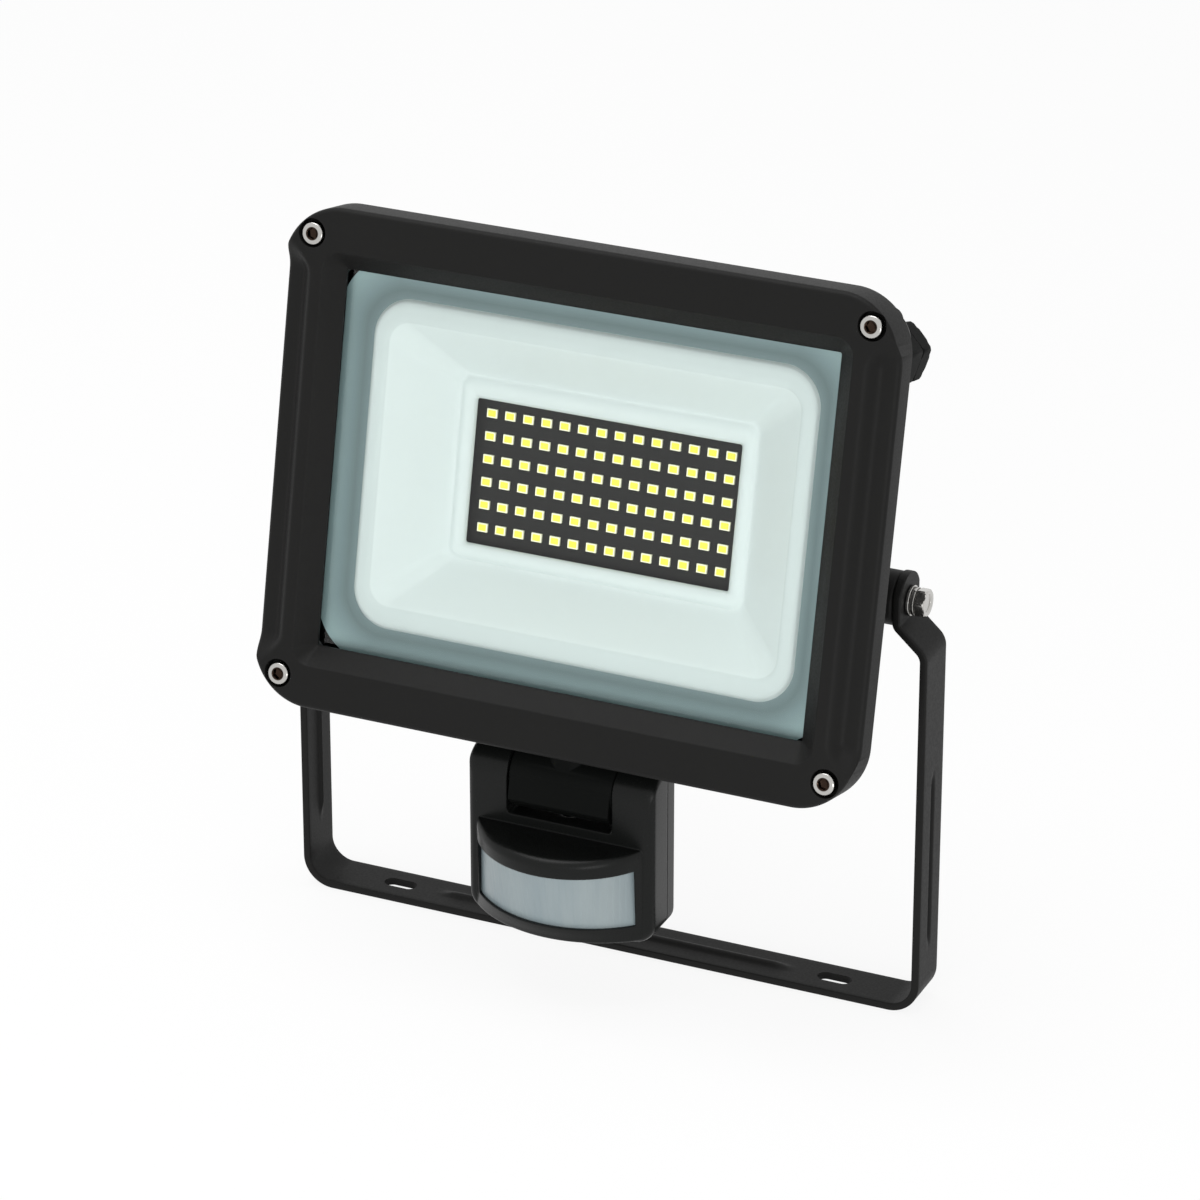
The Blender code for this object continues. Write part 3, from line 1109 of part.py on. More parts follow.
def build_sensor_front(sensor):
    """Front shell: bowed hood, lens window, lower rim and the ears that hold the knuckle."""
    inner_w = SENSOR_HALF_W - SENSOR_WALL
    inner_front = -SENSOR_HALF_DEPTH + SENSOR_WALL
    inner_low = SENSOR_BOTTOM + SENSOR_WALL
    inner_top = NOTCH_FLOOR - SENSOR_WALL
    seam = SEAM_Y - GAP / 2
    front = piece("sensor_front", sensor_block(), BLACK_PLASTIC, sensor)
    edge = 0.6 * MM
    join(front, "bulge", bulge_layers([
        (BULGE_BOTTOM, BULGE_CHORD - edge, RIM_BOTTOM_BULGE - edge),
        (BULGE_BOTTOM + edge, BULGE_CHORD, RIM_BOTTOM_BULGE),
        (LENS_BOTTOM, BULGE_CHORD, RIM_TOP_BULGE),
        (LENS_TOP, BULGE_CHORD, HOOD_LIP_BULGE),
        (HOOD_TOP - edge, BULGE_CHORD, HOOD_BULGE),
        (HOOD_TOP, BULGE_CHORD - edge, HOOD_BULGE - edge)], inner_front + MM))
    big = 4 * SENSOR_HALF_W
    cut(front, "notch", notch())
    cut(front, "cavity", box((-inner_w, inner_w), (inner_front, big), (inner_low, inner_top)))
    cavity_top = HOOD_TOP - SENSOR_WALL
    cut(front, "bulge_cavity", bulge_layers([
        (inner_low, LENS_CHORD + GAP, lens_bulge(inner_low) + GAP),
        (cavity_top, LENS_CHORD + GAP, lens_bulge(cavity_top) + GAP)], 0.0))
    cut(front, "window", box((-LENS_CHORD + GAP, LENS_CHORD - GAP),
                             (-2 * big, -SENSOR_HALF_DEPTH - 0.5 * MM), (LENS_BOTTOM, LENS_TOP)))
    join(front, "screw_bosses", together([
        moved(rod(COVER_BOSS_RADIUS, inner_front - 0.5 * MM, seam + MM, SMALL_SIDES), (x, 0, z),
              ALONG_Y) for x, z in cover_screw_places()]))
    cut(front, "back_half", box((-big, big), (seam, big), (-big, big)))
    half = NOTCH_HALF_W + PIN_LENGTH + GAP
    play = PIN_RADIUS + HOLE_PLAY
    arc = [math.radians(a) for a in range(90, 271, 15)]
    outline = [(play * math.cos(a), play * math.sin(a)) for a in arc] + [(big, -play), (big, play)]
    cut(front, "pin_slots", loft([[(x, y, z) for y, z in outline] for x in (-half, half)]))
    holes = [moved(rod(COVER_SCREW_RADIUS + HOLE_PLAY,
                       SENSOR_HALF_DEPTH - COVER_SCREW_HEAD_HEIGHT - COVER_SCREW_LENGTH - MM,
                       big, SMALL_SIDES), (x, 0, z), ALONG_Y) for x, z in cover_screw_places()]
    for number in range(len(DIAL_NAMES)):
        x = (number - (len(DIAL_NAMES) - 1) / 2) * DIAL_PITCH
        holes.append(moved(rod(DIAL_RADIUS + HOLE_PLAY, SENSOR_BOTTOM - MM, inner_low + MM),
                           (x, DIAL_Y, 0)))
    holes.append(rod(NECK_BORE, inner_top - MM, NOTCH_FLOOR + MM, SMALL_SIDES))
    cut(front, "holes", together(holes))


def build_sensor_back(sensor):
    """Back cover: closes the seam, holds the pins in their slots and presses on the board."""
    inner_w = SENSOR_HALF_W - SENSOR_WALL
    inner_back = SENSOR_HALF_DEPTH - SENSOR_WALL
    seam = SEAM_Y + GAP / 2
    big = 4 * SENSOR_HALF_W
    back = piece("sensor_back", sensor_block(), BLACK_PLASTIC, sensor)
    cut(back, "notch", notch())
    cut(back, "cavity", box((-inner_w, inner_w), (-big, inner_back),
                            (SENSOR_BOTTOM + SENSOR_WALL, NOTCH_FLOOR - SENSOR_WALL)))
    join(back, "screw_pillars", together([
        moved(rod(COVER_BOSS_RADIUS, seam - MM, inner_back + MM, SMALL_SIDES), (x, 0, z),
              ALONG_Y) for x, z in cover_screw_places()]))
    cut(back, "front_half", box((-big, big), (-big, seam), (-big, big)))
    cut(back, "pin_grooves", pin_bore(PIN_RADIUS + HOLE_PLAY, NOTCH_HALF_W + PIN_LENGTH + GAP))
    rib_low = SENSOR_BOARD_BOTTOM + 6 * MM
    rib_top = SENSOR_BOARD_TOP - 3 * MM
    join(back, "board_ribs", together([
        box((side * RIB_X - RIB_THICK / 2, side * RIB_X + RIB_THICK / 2),
            (SENSOR_BOARD_Y + GAP, inner_back + MM), (rib_low, rib_top)) for side in (-1, 1)]))
    seat = SENSOR_HALF_DEPTH - COVER_SCREW_HEAD_HEIGHT - GAP
    cut(back, "screw_holes", together([
        moved(turned([(COVER_SCREW_RADIUS + HOLE_PLAY, 0), (COVER_SCREW_RADIUS + HOLE_PLAY, seat),
                      (COVER_SCREW_HEAD + HOLE_PLAY, seat),
                      (COVER_SCREW_HEAD + HOLE_PLAY, SENSOR_HALF_DEPTH + MM)], SMALL_SIDES),
              (x, 0, z), ALONG_Y) for x, z in cover_screw_places()]))
    profile = [(COVER_SCREW_RADIUS, -COVER_SCREW_LENGTH), (COVER_SCREW_RADIUS, 0),
               (COVER_SCREW_HEAD, 0), (COVER_SCREW_HEAD, 0.6 * COVER_SCREW_HEAD_HEIGHT),
               (0.7 * COVER_SCREW_HEAD, COVER_SCREW_HEAD_HEIGHT)]
    y = SENSOR_HALF_DEPTH - COVER_SCREW_HEAD_HEIGHT
    for number, (x, z) in enumerate(cover_screw_places(), 1):
        piece("cover_screw_%d" % number, turned(profile, SMALL_SIDES), STAINLESS, sensor,
              (x, y, z), ALONG_Y)


def build_lens(sensor):
    """Thin bowed lens behind the window, tucked under the hood and the lower rim."""
    layers = []
    for z in (LENS_BOTTOM - LENS_TUCK, LENS_TOP + LENS_TUCK):
        bulge = lens_bulge(z)
        outer = bow_arc(LENS_CHORD, bulge, -SENSOR_HALF_DEPTH)
        inner = bow_arc(LENS_CHORD - LENS_THICK, bulge - LENS_THICK, -SENSOR_HALF_DEPTH)
        layers.append((outer + inner[::-1], z))
    piece("fresnel_lens", stacked(layers), MILKY_LENS, sensor)


def build_sensor_inside(sensor):
    """Sensor board with its potentiometers, and the detector and relay in front of it."""
    front = SENSOR_BOARD_Y - PCB_THICK
    board = piece("sensor_board", box((-SENSOR_BOARD_HALF_W, SENSOR_BOARD_HALF_W),
                                      (front, SENSOR_BOARD_Y),
                                      (SENSOR_BOARD_BOTTOM, SENSOR_BOARD_TOP)),
                  BOARD_GREEN, sensor)
    pots = []
    for number, name in enumerate(DIAL_NAMES):
        x = (number - (len(DIAL_NAMES) - 1) / 2) * DIAL_PITCH
        pots.append(box((x - POT_WIDTH / 2, x + POT_WIDTH / 2),
                        (front - POT_DEPTH, SENSOR_BOARD_Y - PCB_THICK / 2),
                        (SENSOR_BOARD_BOTTOM, SENSOR_BOARD_BOTTOM + POT_HEIGHT)))
        build_dial(name, sensor, x)
    join(board, "potentiometers", together(pots))
    y = front - GAP
    piece("pir_detector", turned([(DETECTOR_RADIUS, 0), (DETECTOR_RADIUS, 0.8 * MM),
                                  (0.88 * DETECTOR_RADIUS, 0.8 * MM),
                                  (0.88 * DETECTOR_RADIUS, DETECTOR_HEIGHT)], MEDIUM_SIDES),
          STAINLESS, sensor, (0, y, DETECTOR_Z), ALONG_MINUS_Y)
    piece("relay", box((RELAY_X - RELAY_WIDTH / 2, RELAY_X + RELAY_WIDTH / 2),
                       (y - RELAY_DEPTH, y),
                       (RELAY_Z - RELAY_HEIGHT / 2, RELAY_Z + RELAY_HEIGHT / 2)),
          BLACK_PLASTIC, sensor)


def build_dial(name, sensor, x):
    """Adjusting knob through the sensor's underside, with a screwdriver slot."""
    axis = axis_empty(name + "_axis", sensor, (x, DIAL_Y, SENSOR_BOTTOM))
    top = SENSOR_BOARD_BOTTOM - GAP - SENSOR_BOTTOM
    edge = 0.4 * MM
    dial = piece(name, turned([(DIAL_RADIUS - edge, -DIAL_PROUD), (DIAL_RADIUS, edge - DIAL_PROUD),
                               (DIAL_RADIUS, top)], MEDIUM_SIDES), BLACK_PLASTIC, axis)
    cut(dial, "slot", box((-DIAL_RADIUS - MM, DIAL_RADIUS + MM),
                          (-DIAL_SLOT_WIDTH / 2, DIAL_SLOT_WIDTH / 2),
                          (-DIAL_PROUD - MM, DIAL_SLOT_DEPTH - DIAL_PROUD)))


def clear_scene():
    for obj in list(bpy.data.objects):
        bpy.data.objects.remove(obj, do_unlink=True)


def build():
    clear_scene()
    build_bracket()
    head = axis_empty("head_tilt_axis", None, (0, 0, PIVOT_HEIGHT), -HEAD_LEAN)
    build_pivot_hardware(head)
    build_front_frame(head)
    build_glass(head)
    build_reflector(head)
    build_led_board(head)
    build_driver(head)
    build_rear_housing(head)
    build_frame_screws(head)
    build_gland(head)
    swivel = axis_empty("sensor_swivel_axis", head, (0, NECK_Y, KNUCKLE_Z))
    build_neck(head, swivel)
    sensor = axis_empty("sensor_tilt_axis", swivel, (0, 0, 0), HEAD_LEAN)
    build_sensor_front(sensor)
    build_sensor_back(sensor)
    build_lens(sensor)
    build_sensor_inside(sensor)


build()
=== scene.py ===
"""Dresses the motion sensor floodlight and photographs it.

Lengths are millimetres until they go into a mesh. The head's own frame has x to the right,
y back and z up from the pivot axis, and leans back. A depth called t runs back from the
head's front plane, and heights in the head count from its middle. The sensor's frame stands
upright on its tilt axis.
"""
import math

import bmesh
import bpy
import numpy as np
from mathutils import Matrix

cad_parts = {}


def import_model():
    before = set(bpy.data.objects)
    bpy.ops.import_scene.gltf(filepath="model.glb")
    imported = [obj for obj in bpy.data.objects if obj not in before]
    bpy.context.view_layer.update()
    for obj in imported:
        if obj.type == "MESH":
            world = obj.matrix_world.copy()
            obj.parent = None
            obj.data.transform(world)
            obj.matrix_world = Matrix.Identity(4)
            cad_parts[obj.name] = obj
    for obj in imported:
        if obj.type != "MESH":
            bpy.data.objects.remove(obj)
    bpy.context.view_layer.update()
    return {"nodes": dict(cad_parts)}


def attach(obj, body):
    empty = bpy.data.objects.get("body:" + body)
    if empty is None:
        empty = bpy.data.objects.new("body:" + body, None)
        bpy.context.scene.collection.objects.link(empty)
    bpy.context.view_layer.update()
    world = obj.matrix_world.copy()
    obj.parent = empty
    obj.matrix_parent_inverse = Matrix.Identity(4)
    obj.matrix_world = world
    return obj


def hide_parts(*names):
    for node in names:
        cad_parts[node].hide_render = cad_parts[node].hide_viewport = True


MM = 0.001

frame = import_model()

PIVOT_HEIGHT = 138.4
LEAN = math.radians(12.5)
CENTRE_Z = 19.3
FRONT_Y = -42.1
KNUCKLE_Y = -17.9
KNUCKLE_Z = -71.6

FRAME_W, FRAME_H, FRAME_R = 101.3, 79.1, 19.5
FRAME_DEPTH, BACK_T = 13.3, 36.5
WINDOW_W, WINDOW_H, WINDOW_R = 81.8, 59.75, 0.7
LIP_INSET, LIP_DEPTH = 13.6, 7.0
SCREW_X, SCREW_Z = 92.0, 69.8
BOARD_SCREW_X, BOARD_SCREW_Z = 52.515, 29.6
GLAND_X, GLAND_Z = 82.9, 53.6


# Frames of the parts

def lean_back():
    """Turn about X that leans the head back: z goes towards +y."""
    c, s = math.cos(LEAN), math.sin(LEAN)
    return np.array([[1, 0, 0], [0, c, s], [0, -s, c]])


HEAD = (lean_back(), np.array([0.0, 0.0, PIVOT_HEIGHT]))
NECK = (HEAD[0], HEAD[1] + HEAD[0] @ np.array([0.0, KNUCKLE_Y, KNUCKLE_Z]))
SENSOR = (np.eye(3), NECK[1])
GROUND = (np.eye(3), np.zeros(3))


def world(points, part):
    """Points of a part's own frame as world points in metres."""
    turn, origin = part
    return (points @ turn.T + origin) * MM


def in_head(x, t, z):
    """Points of the head from x, depth t and height z above its middle."""
    return np.stack(np.broadcast_arrays(x, FRONT_Y + t, CENTRE_Z + z), -1)


# Meshes from grids

def grid_faces(rows, columns, around, closed):
    """Four-sided faces of a grid; around joins the last column to the first, closed the rows."""
    index = np.arange(rows * columns).reshape(rows, columns)
    if around:
        index = np.hstack([index, index[:, :1]])
    if closed:
        index = np.vstack([index, index[:1]])
    return np.stack([index[:-1, :-1], index[:-1, 1:], index[1:, 1:], index[1:, :-1]],
                    -1).reshape(-1, 4)


def surface(name, grids, part, body=None, around=True, closed=False, sharp=35.0,
            attribute=None):
    """One mesh from grids of points, each (rows, columns, 3), in a part's frame."""
    points, faces, start = [], [], 0
    for grid in grids:
        rows, columns = grid.shape[:2]
        points.append(grid.reshape(-1, 3))
        faces.append(grid_faces(rows, columns, around, closed) + start)
        start += rows * columns
    points = world(np.concatenate(points), part)
    faces = np.concatenate(faces)
    mesh = bpy.data.meshes.new(name)
    mesh.vertices.add(len(points))
    mesh.vertices.foreach_set("co", points.astype(np.float32).ravel())
    mesh.loops.add(faces.size)
    mesh.loops.foreach_set("vertex_index", faces.ravel().astype(np.int32))
    mesh.polygons.add(len(faces))
    mesh.polygons.foreach_set("loop_start", np.arange(0, faces.size, 4, dtype=np.int32))
    mesh.update(calc_edges=True)
    if attribute is not None:
        layer = mesh.attributes.new(attribute[0], "FLOAT", "POINT")
        layer.data.foreach_set("value", attribute[1].astype(np.float32).ravel())
    tidy_mesh(mesh)
    return stand(name, mesh, body, sharp)


def tidy_mesh(mesh):
    """Merges doubled points, drops faces of no area and turns every face outwards."""
    work = bmesh.new()
    work.from_mesh(mesh)
    bmesh.ops.remove_doubles(work, verts=work.verts, dist=2e-6)
    bmesh.ops.dissolve_degenerate(work, dist=1e-6, edges=work.edges)
    bmesh.ops.recalc_face_normals(work, faces=work.faces)
    work.to_mesh(mesh)
    work.free()


def stand(name, mesh, body, sharp):
    """An object for the mesh, shaded smooth except across edges sharper than the angle."""
    mesh.polygons.foreach_set("use_smooth", np.ones(len(mesh.polygons), dtype=bool))
    mesh.set_sharp_from_angle(angle=math.radians(sharp))
    piece = bpy.data.objects.new(name, mesh)
    bpy.context.scene.collection.objects.link(piece)
    if body is not None:
        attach(piece, body)
    return piece


def shape_by(piece, tool, operation, sharp=35.0):
    """Cuts a tool out of a piece, or joins it on, and throws the tool away."""
    change = piece.modifiers.new("tool", "BOOLEAN")
    change.operation = operation
    change.solver = "EXACT"
    change.object = tool
    bpy.context.view_layer.update()
    shaped = piece.evaluated_get(bpy.context.evaluated_depsgraph_get())
    mesh = bpy.data.meshes.new_from_object(shaped)
    piece.modifiers.clear()
    piece.data = mesh
    tidy_mesh(mesh)
    mesh.polygons.foreach_set("use_smooth", np.ones(len(mesh.polygons), dtype=bool))
    mesh.set_sharp_from_angle(angle=math.radians(sharp))
    bpy.data.objects.remove(tool)


def turned(profile, sides=64, flats=None, corner=0.0):
    """Surface of revolution as a grid of (a, b, h).

    Each profile row is (radius, height). With flats, rows marked True as a third value are a
    hexagon of that size, never further out than the row's radius; its corners are at corner.
    """
    angle = np.linspace(0, 2 * np.pi, sides, endpoint=False)
    rows = []
    for row in profile:
        radius = np.full(sides, float(row[0]))
        if len(row) > 2 and row[2]:
            fold = np.mod(angle - corner, np.pi / 3) - np.pi / 6
            radius = np.minimum(radius, flats / 2 / np.cos(fold))
        rows.append(np.stack([radius * np.cos(angle), radius * np.sin(angle),
                              np.full(sides, float(row[1]))], -1))
    return np.stack(rows)


def laid(grid, axis, place=(0.0, 0.0, 0.0)):
    """A turned grid laid with its height along an axis, such as "-y", at a place."""
    a, b, h = grid[..., 0], grid[..., 1], grid[..., 2]
    sign = -1.0 if axis[0] == "-" else 1.0
    order = {"x": (sign * h, a, b), "y": (a, sign * h, b), "z": (a, b, sign * h)}[axis[-1]]
    return np.stack(order, -1) + np.array(place)


def box_grid(x, y, z):
    """A closed box as a grid of four rings that start and end in a point."""
    xs = np.array([x[0], x[1], x[1], x[0]])
    ys = np.array([y[0], y[0], y[1], y[1]])
    middle = np.stack([np.full(4, sum(x) / 2), np.full(4, sum(y) / 2)], -1)
    rim = np.stack([xs, ys], -1)
    rings = [(middle, z[0]), (rim, z[0]), (rim, z[1]), (middle, z[1])]
    return np.stack([np.concatenate([ring, np.full((4, 1), float(h))], 1) for ring, h in rings])


def rod(radius, low, high, axis, place=(0.0, 0.0, 0.0), sides=48):
    """A plain rod as a closed grid, from low to high along an axis."""
    return laid(turned([(0, low), (radius, low), (radius, high), (0, high)], sides), axis, place)


def capped(grid):
    """A grid with a row added at each end, where its columns meet in the ring's middle."""
    first = np.broadcast_to(grid[0].mean(0), grid[0].shape)
    last = np.broadcast_to(grid[-1].mean(0), grid[-1].shape)
    return np.concatenate([first[None], grid, last[None]])


# Outline of the head

def round_the_head():
    """Samples round a rounded rectangle, closest where the scoops end.

    Returns (a, b, nx, nz): the place of the corner's centre as a share of each straight
    side, and the outward normal.
    """
    fine = 1 - 0.08 * np.linspace(0, 1, 12)
    side = np.concatenate([-fine, np.linspace(-0.9, 0.9, 25), fine[::-1]])
    top = np.linspace(0.96, -0.96, 21)
    corner = np.radians(np.concatenate([np.arange(1, 26, 1.2), np.arange(27.5, 90.1, 3.0)]))
    along, round_it = np.ones_like(side), np.ones_like(corner)
    c, s = np.cos(corner), np.sin(corner)
    a = [along, round_it, top, -round_it, -along, -round_it, -top, round_it]
    b = [side, round_it, np.ones_like(top), round_it, -side, -round_it, -np.ones_like(top),
         -round_it]
    nx = [along, c, 0 * top, -c[::-1], -along, -c, 0 * top, c[::-1]]
    nz = [0 * side, s, np.ones_like(top), s[::-1], 0 * side, -s, -np.ones_like(top), -s[::-1]]
    return [np.concatenate(part) for part in (a, b, nx, nz)]


ROUND_A, ROUND_B, ROUND_NX, ROUND_NZ = round_the_head()


def outline(half_w, half_h, radius):
    """Points (x, z) round a rounded rectangle."""
    return (ROUND_A * (half_w - radius) + ROUND_NX * radius,
            ROUND_B * (half_h - radius) + ROUND_NZ * radius)


def inset_ring(inset, radius=None):
    """The frame's outline moved inwards."""
    corner = FRAME_R - inset if radius is None else radius
    return outline(FRAME_W - inset, FRAME_H - inset, corner)


# Front frame

SCOOP_START, SCOOP_END, SCOOP_DEPTH, SCOOP_EDGE = 90.8, 96.2, 4.2, 1.8
RAMP_X, RAMP_Z = 92.0, 56.6


def scoop_depth(x, z):
    """Depth of the side scoops at (x, z).

    Across: half a cosine from the crest down to the floor, then a round outer edge. Along:
    the floor rises to the corner pads on half a cosine that gets longer towards the edge.
    """
    share = np.clip((np.abs(x) - SCOOP_START) / (SCOOP_END - SCOOP_START), 0, 1)
    edge = np.clip(np.abs(x) - (FRAME_W - SCOOP_EDGE), 0, SCOOP_EDGE)
    floor = SCOOP_EDGE - np.sqrt(np.clip(SCOOP_EDGE ** 2 - edge ** 2, 0, None))
    across = SCOOP_DEPTH * (0.5 - 0.5 * np.cos(np.pi * share)) + floor
    out = np.clip(np.abs(x) - RAMP_X, 0, None)
    climb = np.clip((np.abs(z) - RAMP_Z - 0.1 * out) / (4.5 + out), 0, 1)
    return across * (0.5 + 0.5 * np.cos(np.pi * climb))


def front_ring(inset):
    """A ring on the front face: as deep as the rounded outer edge or the scoop there."""
    x, z = inset_ring(inset)
    radius = 1.75 - 0.25 * np.abs(ROUND_NX)
    inner = np.clip(radius - inset, 0, None)
    edge = radius - np.sqrt(np.clip(radius ** 2 - inner ** 2, 0, None))
    return in_head(x, np.maximum(edge, scoop_depth(x, z)), z)


def front_frame():
    """Cast frame as one tube of rings.

    From the back edge up the outer wall, over the front face with its scoops, over the
    window's crest and down the bevel, then back along the pocket and past the seal's groove.
    """
    turn = np.linspace(0, np.pi / 2, 9)
    insets = np.concatenate([
        1.5 * (1 - np.cos(turn)), SCOOP_EDGE * (1 - np.cos(turn)), [3.0, 4.2],
        np.linspace(FRAME_W - SCOOP_END, FRAME_W - SCOOP_START, 13), [12.0]])
    insets = np.unique(np.round(insets, 3))
    x, z = inset_ring(0.0)
    rings = [in_head(x, FRAME_DEPTH, z)]
    rings += [front_ring(inset) for inset in insets]
    slope = math.atan2(LIP_DEPTH - 0.8, FRAME_W - LIP_INSET - WINDOW_W)
    crest = 0.9
    first = LIP_INSET - crest * math.tan(slope / 2)
    lip_x, lip_z = inset_ring(LIP_INSET)
    window_x, window_z = outline(WINDOW_W, WINDOW_H, WINDOW_R)
    for angle in np.linspace(0, slope, 6):
        inset = first + crest * math.sin(angle)
        depth = crest * (1 - math.cos(angle))
        share = max(0.0, (inset - LIP_INSET) / (FRAME_W - LIP_INSET - WINDOW_W))
        x, z = inset_ring(min(inset, LIP_INSET))
        rings.append(in_head(x + share * (window_x - lip_x), depth, z + share * (window_z - lip_z)))
    for share in (0.5, 0.93, 0.98, 1.0):
        depth = share * (LIP_DEPTH - 0.8) - (0.0 if share < 1 else 0.12)
        rings.append(in_head(lip_x + share * (window_x - lip_x), depth,
                             lip_z + share * (window_z - lip_z)))
    rings.append(in_head(window_x, LIP_DEPTH - 0.55, window_z))
    rings.append(in_head(window_x, LIP_DEPTH, window_z))
    x, z = inset_ring(10.0, 20.0)
    rings.append(in_head(x, LIP_DEPTH, z))
    rings.append(in_head(x, FRAME_DEPTH, z))
    for inset, corner, t in ((6.5, 27.3, FRAME_DEPTH), (6.5, 27.3, 12.0), (3.5, 30.3, 12.0),
                             (3.5, 30.3, FRAME_DEPTH)):
        x, z = inset_ring(inset, corner)
        rings.append(in_head(x, t, z))
    casting = surface("frame_casting", [np.stack(rings)], HEAD, "head", closed=True)
    bore, seat = 4.5, 4.5
    profile = [(0, -2), (bore + 2.3, -2), (bore + 0.3, 0), (bore + 0.08, 0.12), (bore, 0.35),
               (bore, seat), (0, seat)]
    cutters = []
    for sx in (-1, 1):
        for sz in (-1, 1):
            x, z = sx * SCREW_X, CENTRE_Z + sz * SCREW_Z
            cutters.append(laid(turned(profile, 56), "y", (x + 0.25 + 0.2 * sx, FRONT_Y, z + 0.3)))
            cutters.append(rod(2.3, seat - 0.5, FRAME_DEPTH + 2, "y", (x, FRONT_Y, z), 40))
    shape_by(casting, surface("bores", cutters, HEAD), "DIFFERENCE", 30.0)
    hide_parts("front_frame")
    return casting


def cap_screw(number, x, z):
    """Socket cap screw: head with a round top edge and a hexagon socket.

    The socket value is 1 on the last rows of the profile, down in the hexagon, where the steel
    finish paints shade.
    """
    profile = [(0, -11.5), (1.7, -11.5), (2.0, -11.1), (2.0, 0), (3.5, 0), (3.6, 0.15), (3.6, 3.3),
               (3.5, 3.65), (3.25, 3.9), (2.95, 4.0), (2.2, 4.0), (2.0, 3.93),
               (9, 3.75, True), (9, 1.9, True), (0.6, 1.5), (0, 1.4)]
    grid = turned(profile, 72, 3.2, 0.3 + 0.4 * number)
    grid = laid(grid, "-y", (x, FRONT_Y + 4.2, CENTRE_Z + z))
    # Painted shade: the socket value marks the hexagon's bottom for a dark brown.
    socket = np.zeros(grid.shape[:2])
    socket[-5:] = 1.0
    screw = surface("cap_screw_%d" % number, [grid], HEAD, "head", sharp=30,
                    attribute=("socket", socket))
    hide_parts("frame_screw_%d" % number)
    return screw


# Light source

BRIM_T, FOOT_T, BASIN_T, PCB_T = 13.2, 28.95, 28.1, 31.6
APERTURE_W, APERTURE_H, APERTURE_Z = 44.5, 23.0, -0.95
BASIN_W, BASIN_H = 49.62, 29.0
LED_COLUMNS, LED_ROWS, LED_PITCH_X, LED_PITCH_Z, LED_Z = 14, 6, 6.21, 7.28, -0.8


def reflector():
    """Pressed reflector as rings: brim, rolled rim, sloping walls with creased corners, ridge.

    The value is 0 on the walls, 0.04 on the rolled rim and 0.1 to 1 across the brim; the finish
    paints shade by it.
    """
    rings, shade_values = [], []

    def ring(half_w, half_h, corner, t, value=0.0, lift=0.0):
        """Adds one round rectangle at depth t, and its value of painted shade."""
        x, z = outline(half_w, half_h, corner)
        rings.append(in_head(x, t, z + lift))
        shade_values.append(np.full(len(x), value))

    outer_w, outer_h = 74.2, 52.2
    rim_w, rim_h, rim_r = 68.4, 44.7, 6.8
    # The brim's values grade its painted shade: darkest just outside the rim, lighter outwards.
    for share in (1.0, 0.75, 0.5, 0.25, 0.06):
        ring(outer_w + 12 * share, outer_h + 12 * share, 12.5 + 6 * share, BRIM_T,
             0.1 + 0.9 * share)
    ring(outer_w + 0.12, outer_h + 0.12, 12.56, BRIM_T, 0.1)
    # The rolled rim's value of 0.04 paints it a little darker than the walls: painted shade.
    for share in np.linspace(0, 1, 15):
        near, far = min(share / 0.35, 1.0), max(0.0, (share - 0.35) / 0.65)
        rise = 1.5 * (math.sqrt(1 - (1 - near) ** 2) - 0.58 * far ** 4)
        ring(outer_w + share * (rim_w - outer_w), outer_h + share * (rim_h - outer_h),
             12.5 + share * (rim_r - 12.5), BRIM_T - rise, 0.04 if share < 0.95 else 0.0)
    for share in (0.08, 0.3, 0.6, 0.9, 0.97):
        ring(rim_w + share * (BASIN_W - rim_w), rim_h + share * (BASIN_H - rim_h),
             rim_r + share * (3.5 - rim_r), BRIM_T - 0.63 + share * (BASIN_T - BRIM_T + 0.63))
    ridge_w, ridge_h = BASIN_W - APERTURE_W, BASIN_H - APERTURE_H
    for share in np.linspace(0, 1, 12):
        rise = 1.3 * math.sin(math.pi * min(1.0, 0.06 + share)) ** 0.8 if share < 0.94 else -0.6
        ring(BASIN_W - share * ridge_w, BASIN_H - share * ridge_h, 3.5 - 2.7 * share,
             BASIN_T - rise, lift=share * APERTURE_Z)
    ring(APERTURE_W, APERTURE_H, 0.8, FOOT_T, lift=APERTURE_Z)
    ring(APERTURE_W + 1.3, APERTURE_H + 1.3, 2.1, FOOT_T, lift=APERTURE_Z)
    ring(APERTURE_W + 1.3, APERTURE_H + 1.3, 2.1, BASIN_T + 1.3, lift=APERTURE_Z)
    ring(BASIN_W + 1.0, BASIN_H + 1.0, 4.1, BASIN_T + 1.3)
    ring(rim_w + 1.3, rim_h + 1.3, rim_r + 1.3, BRIM_T + 1.3)
    ring(outer_w + 12, outer_h + 12, 18.5, BRIM_T + 1.3, 1.0)
    shell = surface("reflector_shell", [np.stack(rings)], HEAD, "head", closed=True, sharp=50,
                    attribute=("brim_shade", np.stack(shade_values)))
    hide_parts("reflector")
    return shell


def led_plate():
    """Flat board with softened edges."""
    w, h, e = 56.02, 33.1, 0.15
    rings = []
    for grow, t in ((-20, PCB_T), (-e, PCB_T), (0, PCB_T + e), (0, PCB_T + 1.6 - e),
                    (-e, PCB_T + 1.6), (-20, PCB_T + 1.6)):
        x, z = outline(w + grow, h + grow, 0.5)
        rings.append(in_head(x, t, z))
    plate = surface("led_plate", [capped(np.stack(rings))], HEAD, "head")
    holes = [rod(1.5, -5, 5, "y",
                 (sx * BOARD_SCREW_X, FRONT_Y + PCB_T, CENTRE_Z + sz * BOARD_SCREW_Z), 24)
             for sx in (-1, 1) for sz in (-1, 1)]
    shape_by(plate, surface("holes", holes, HEAD), "DIFFERENCE")
    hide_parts("led_board")
    return plate


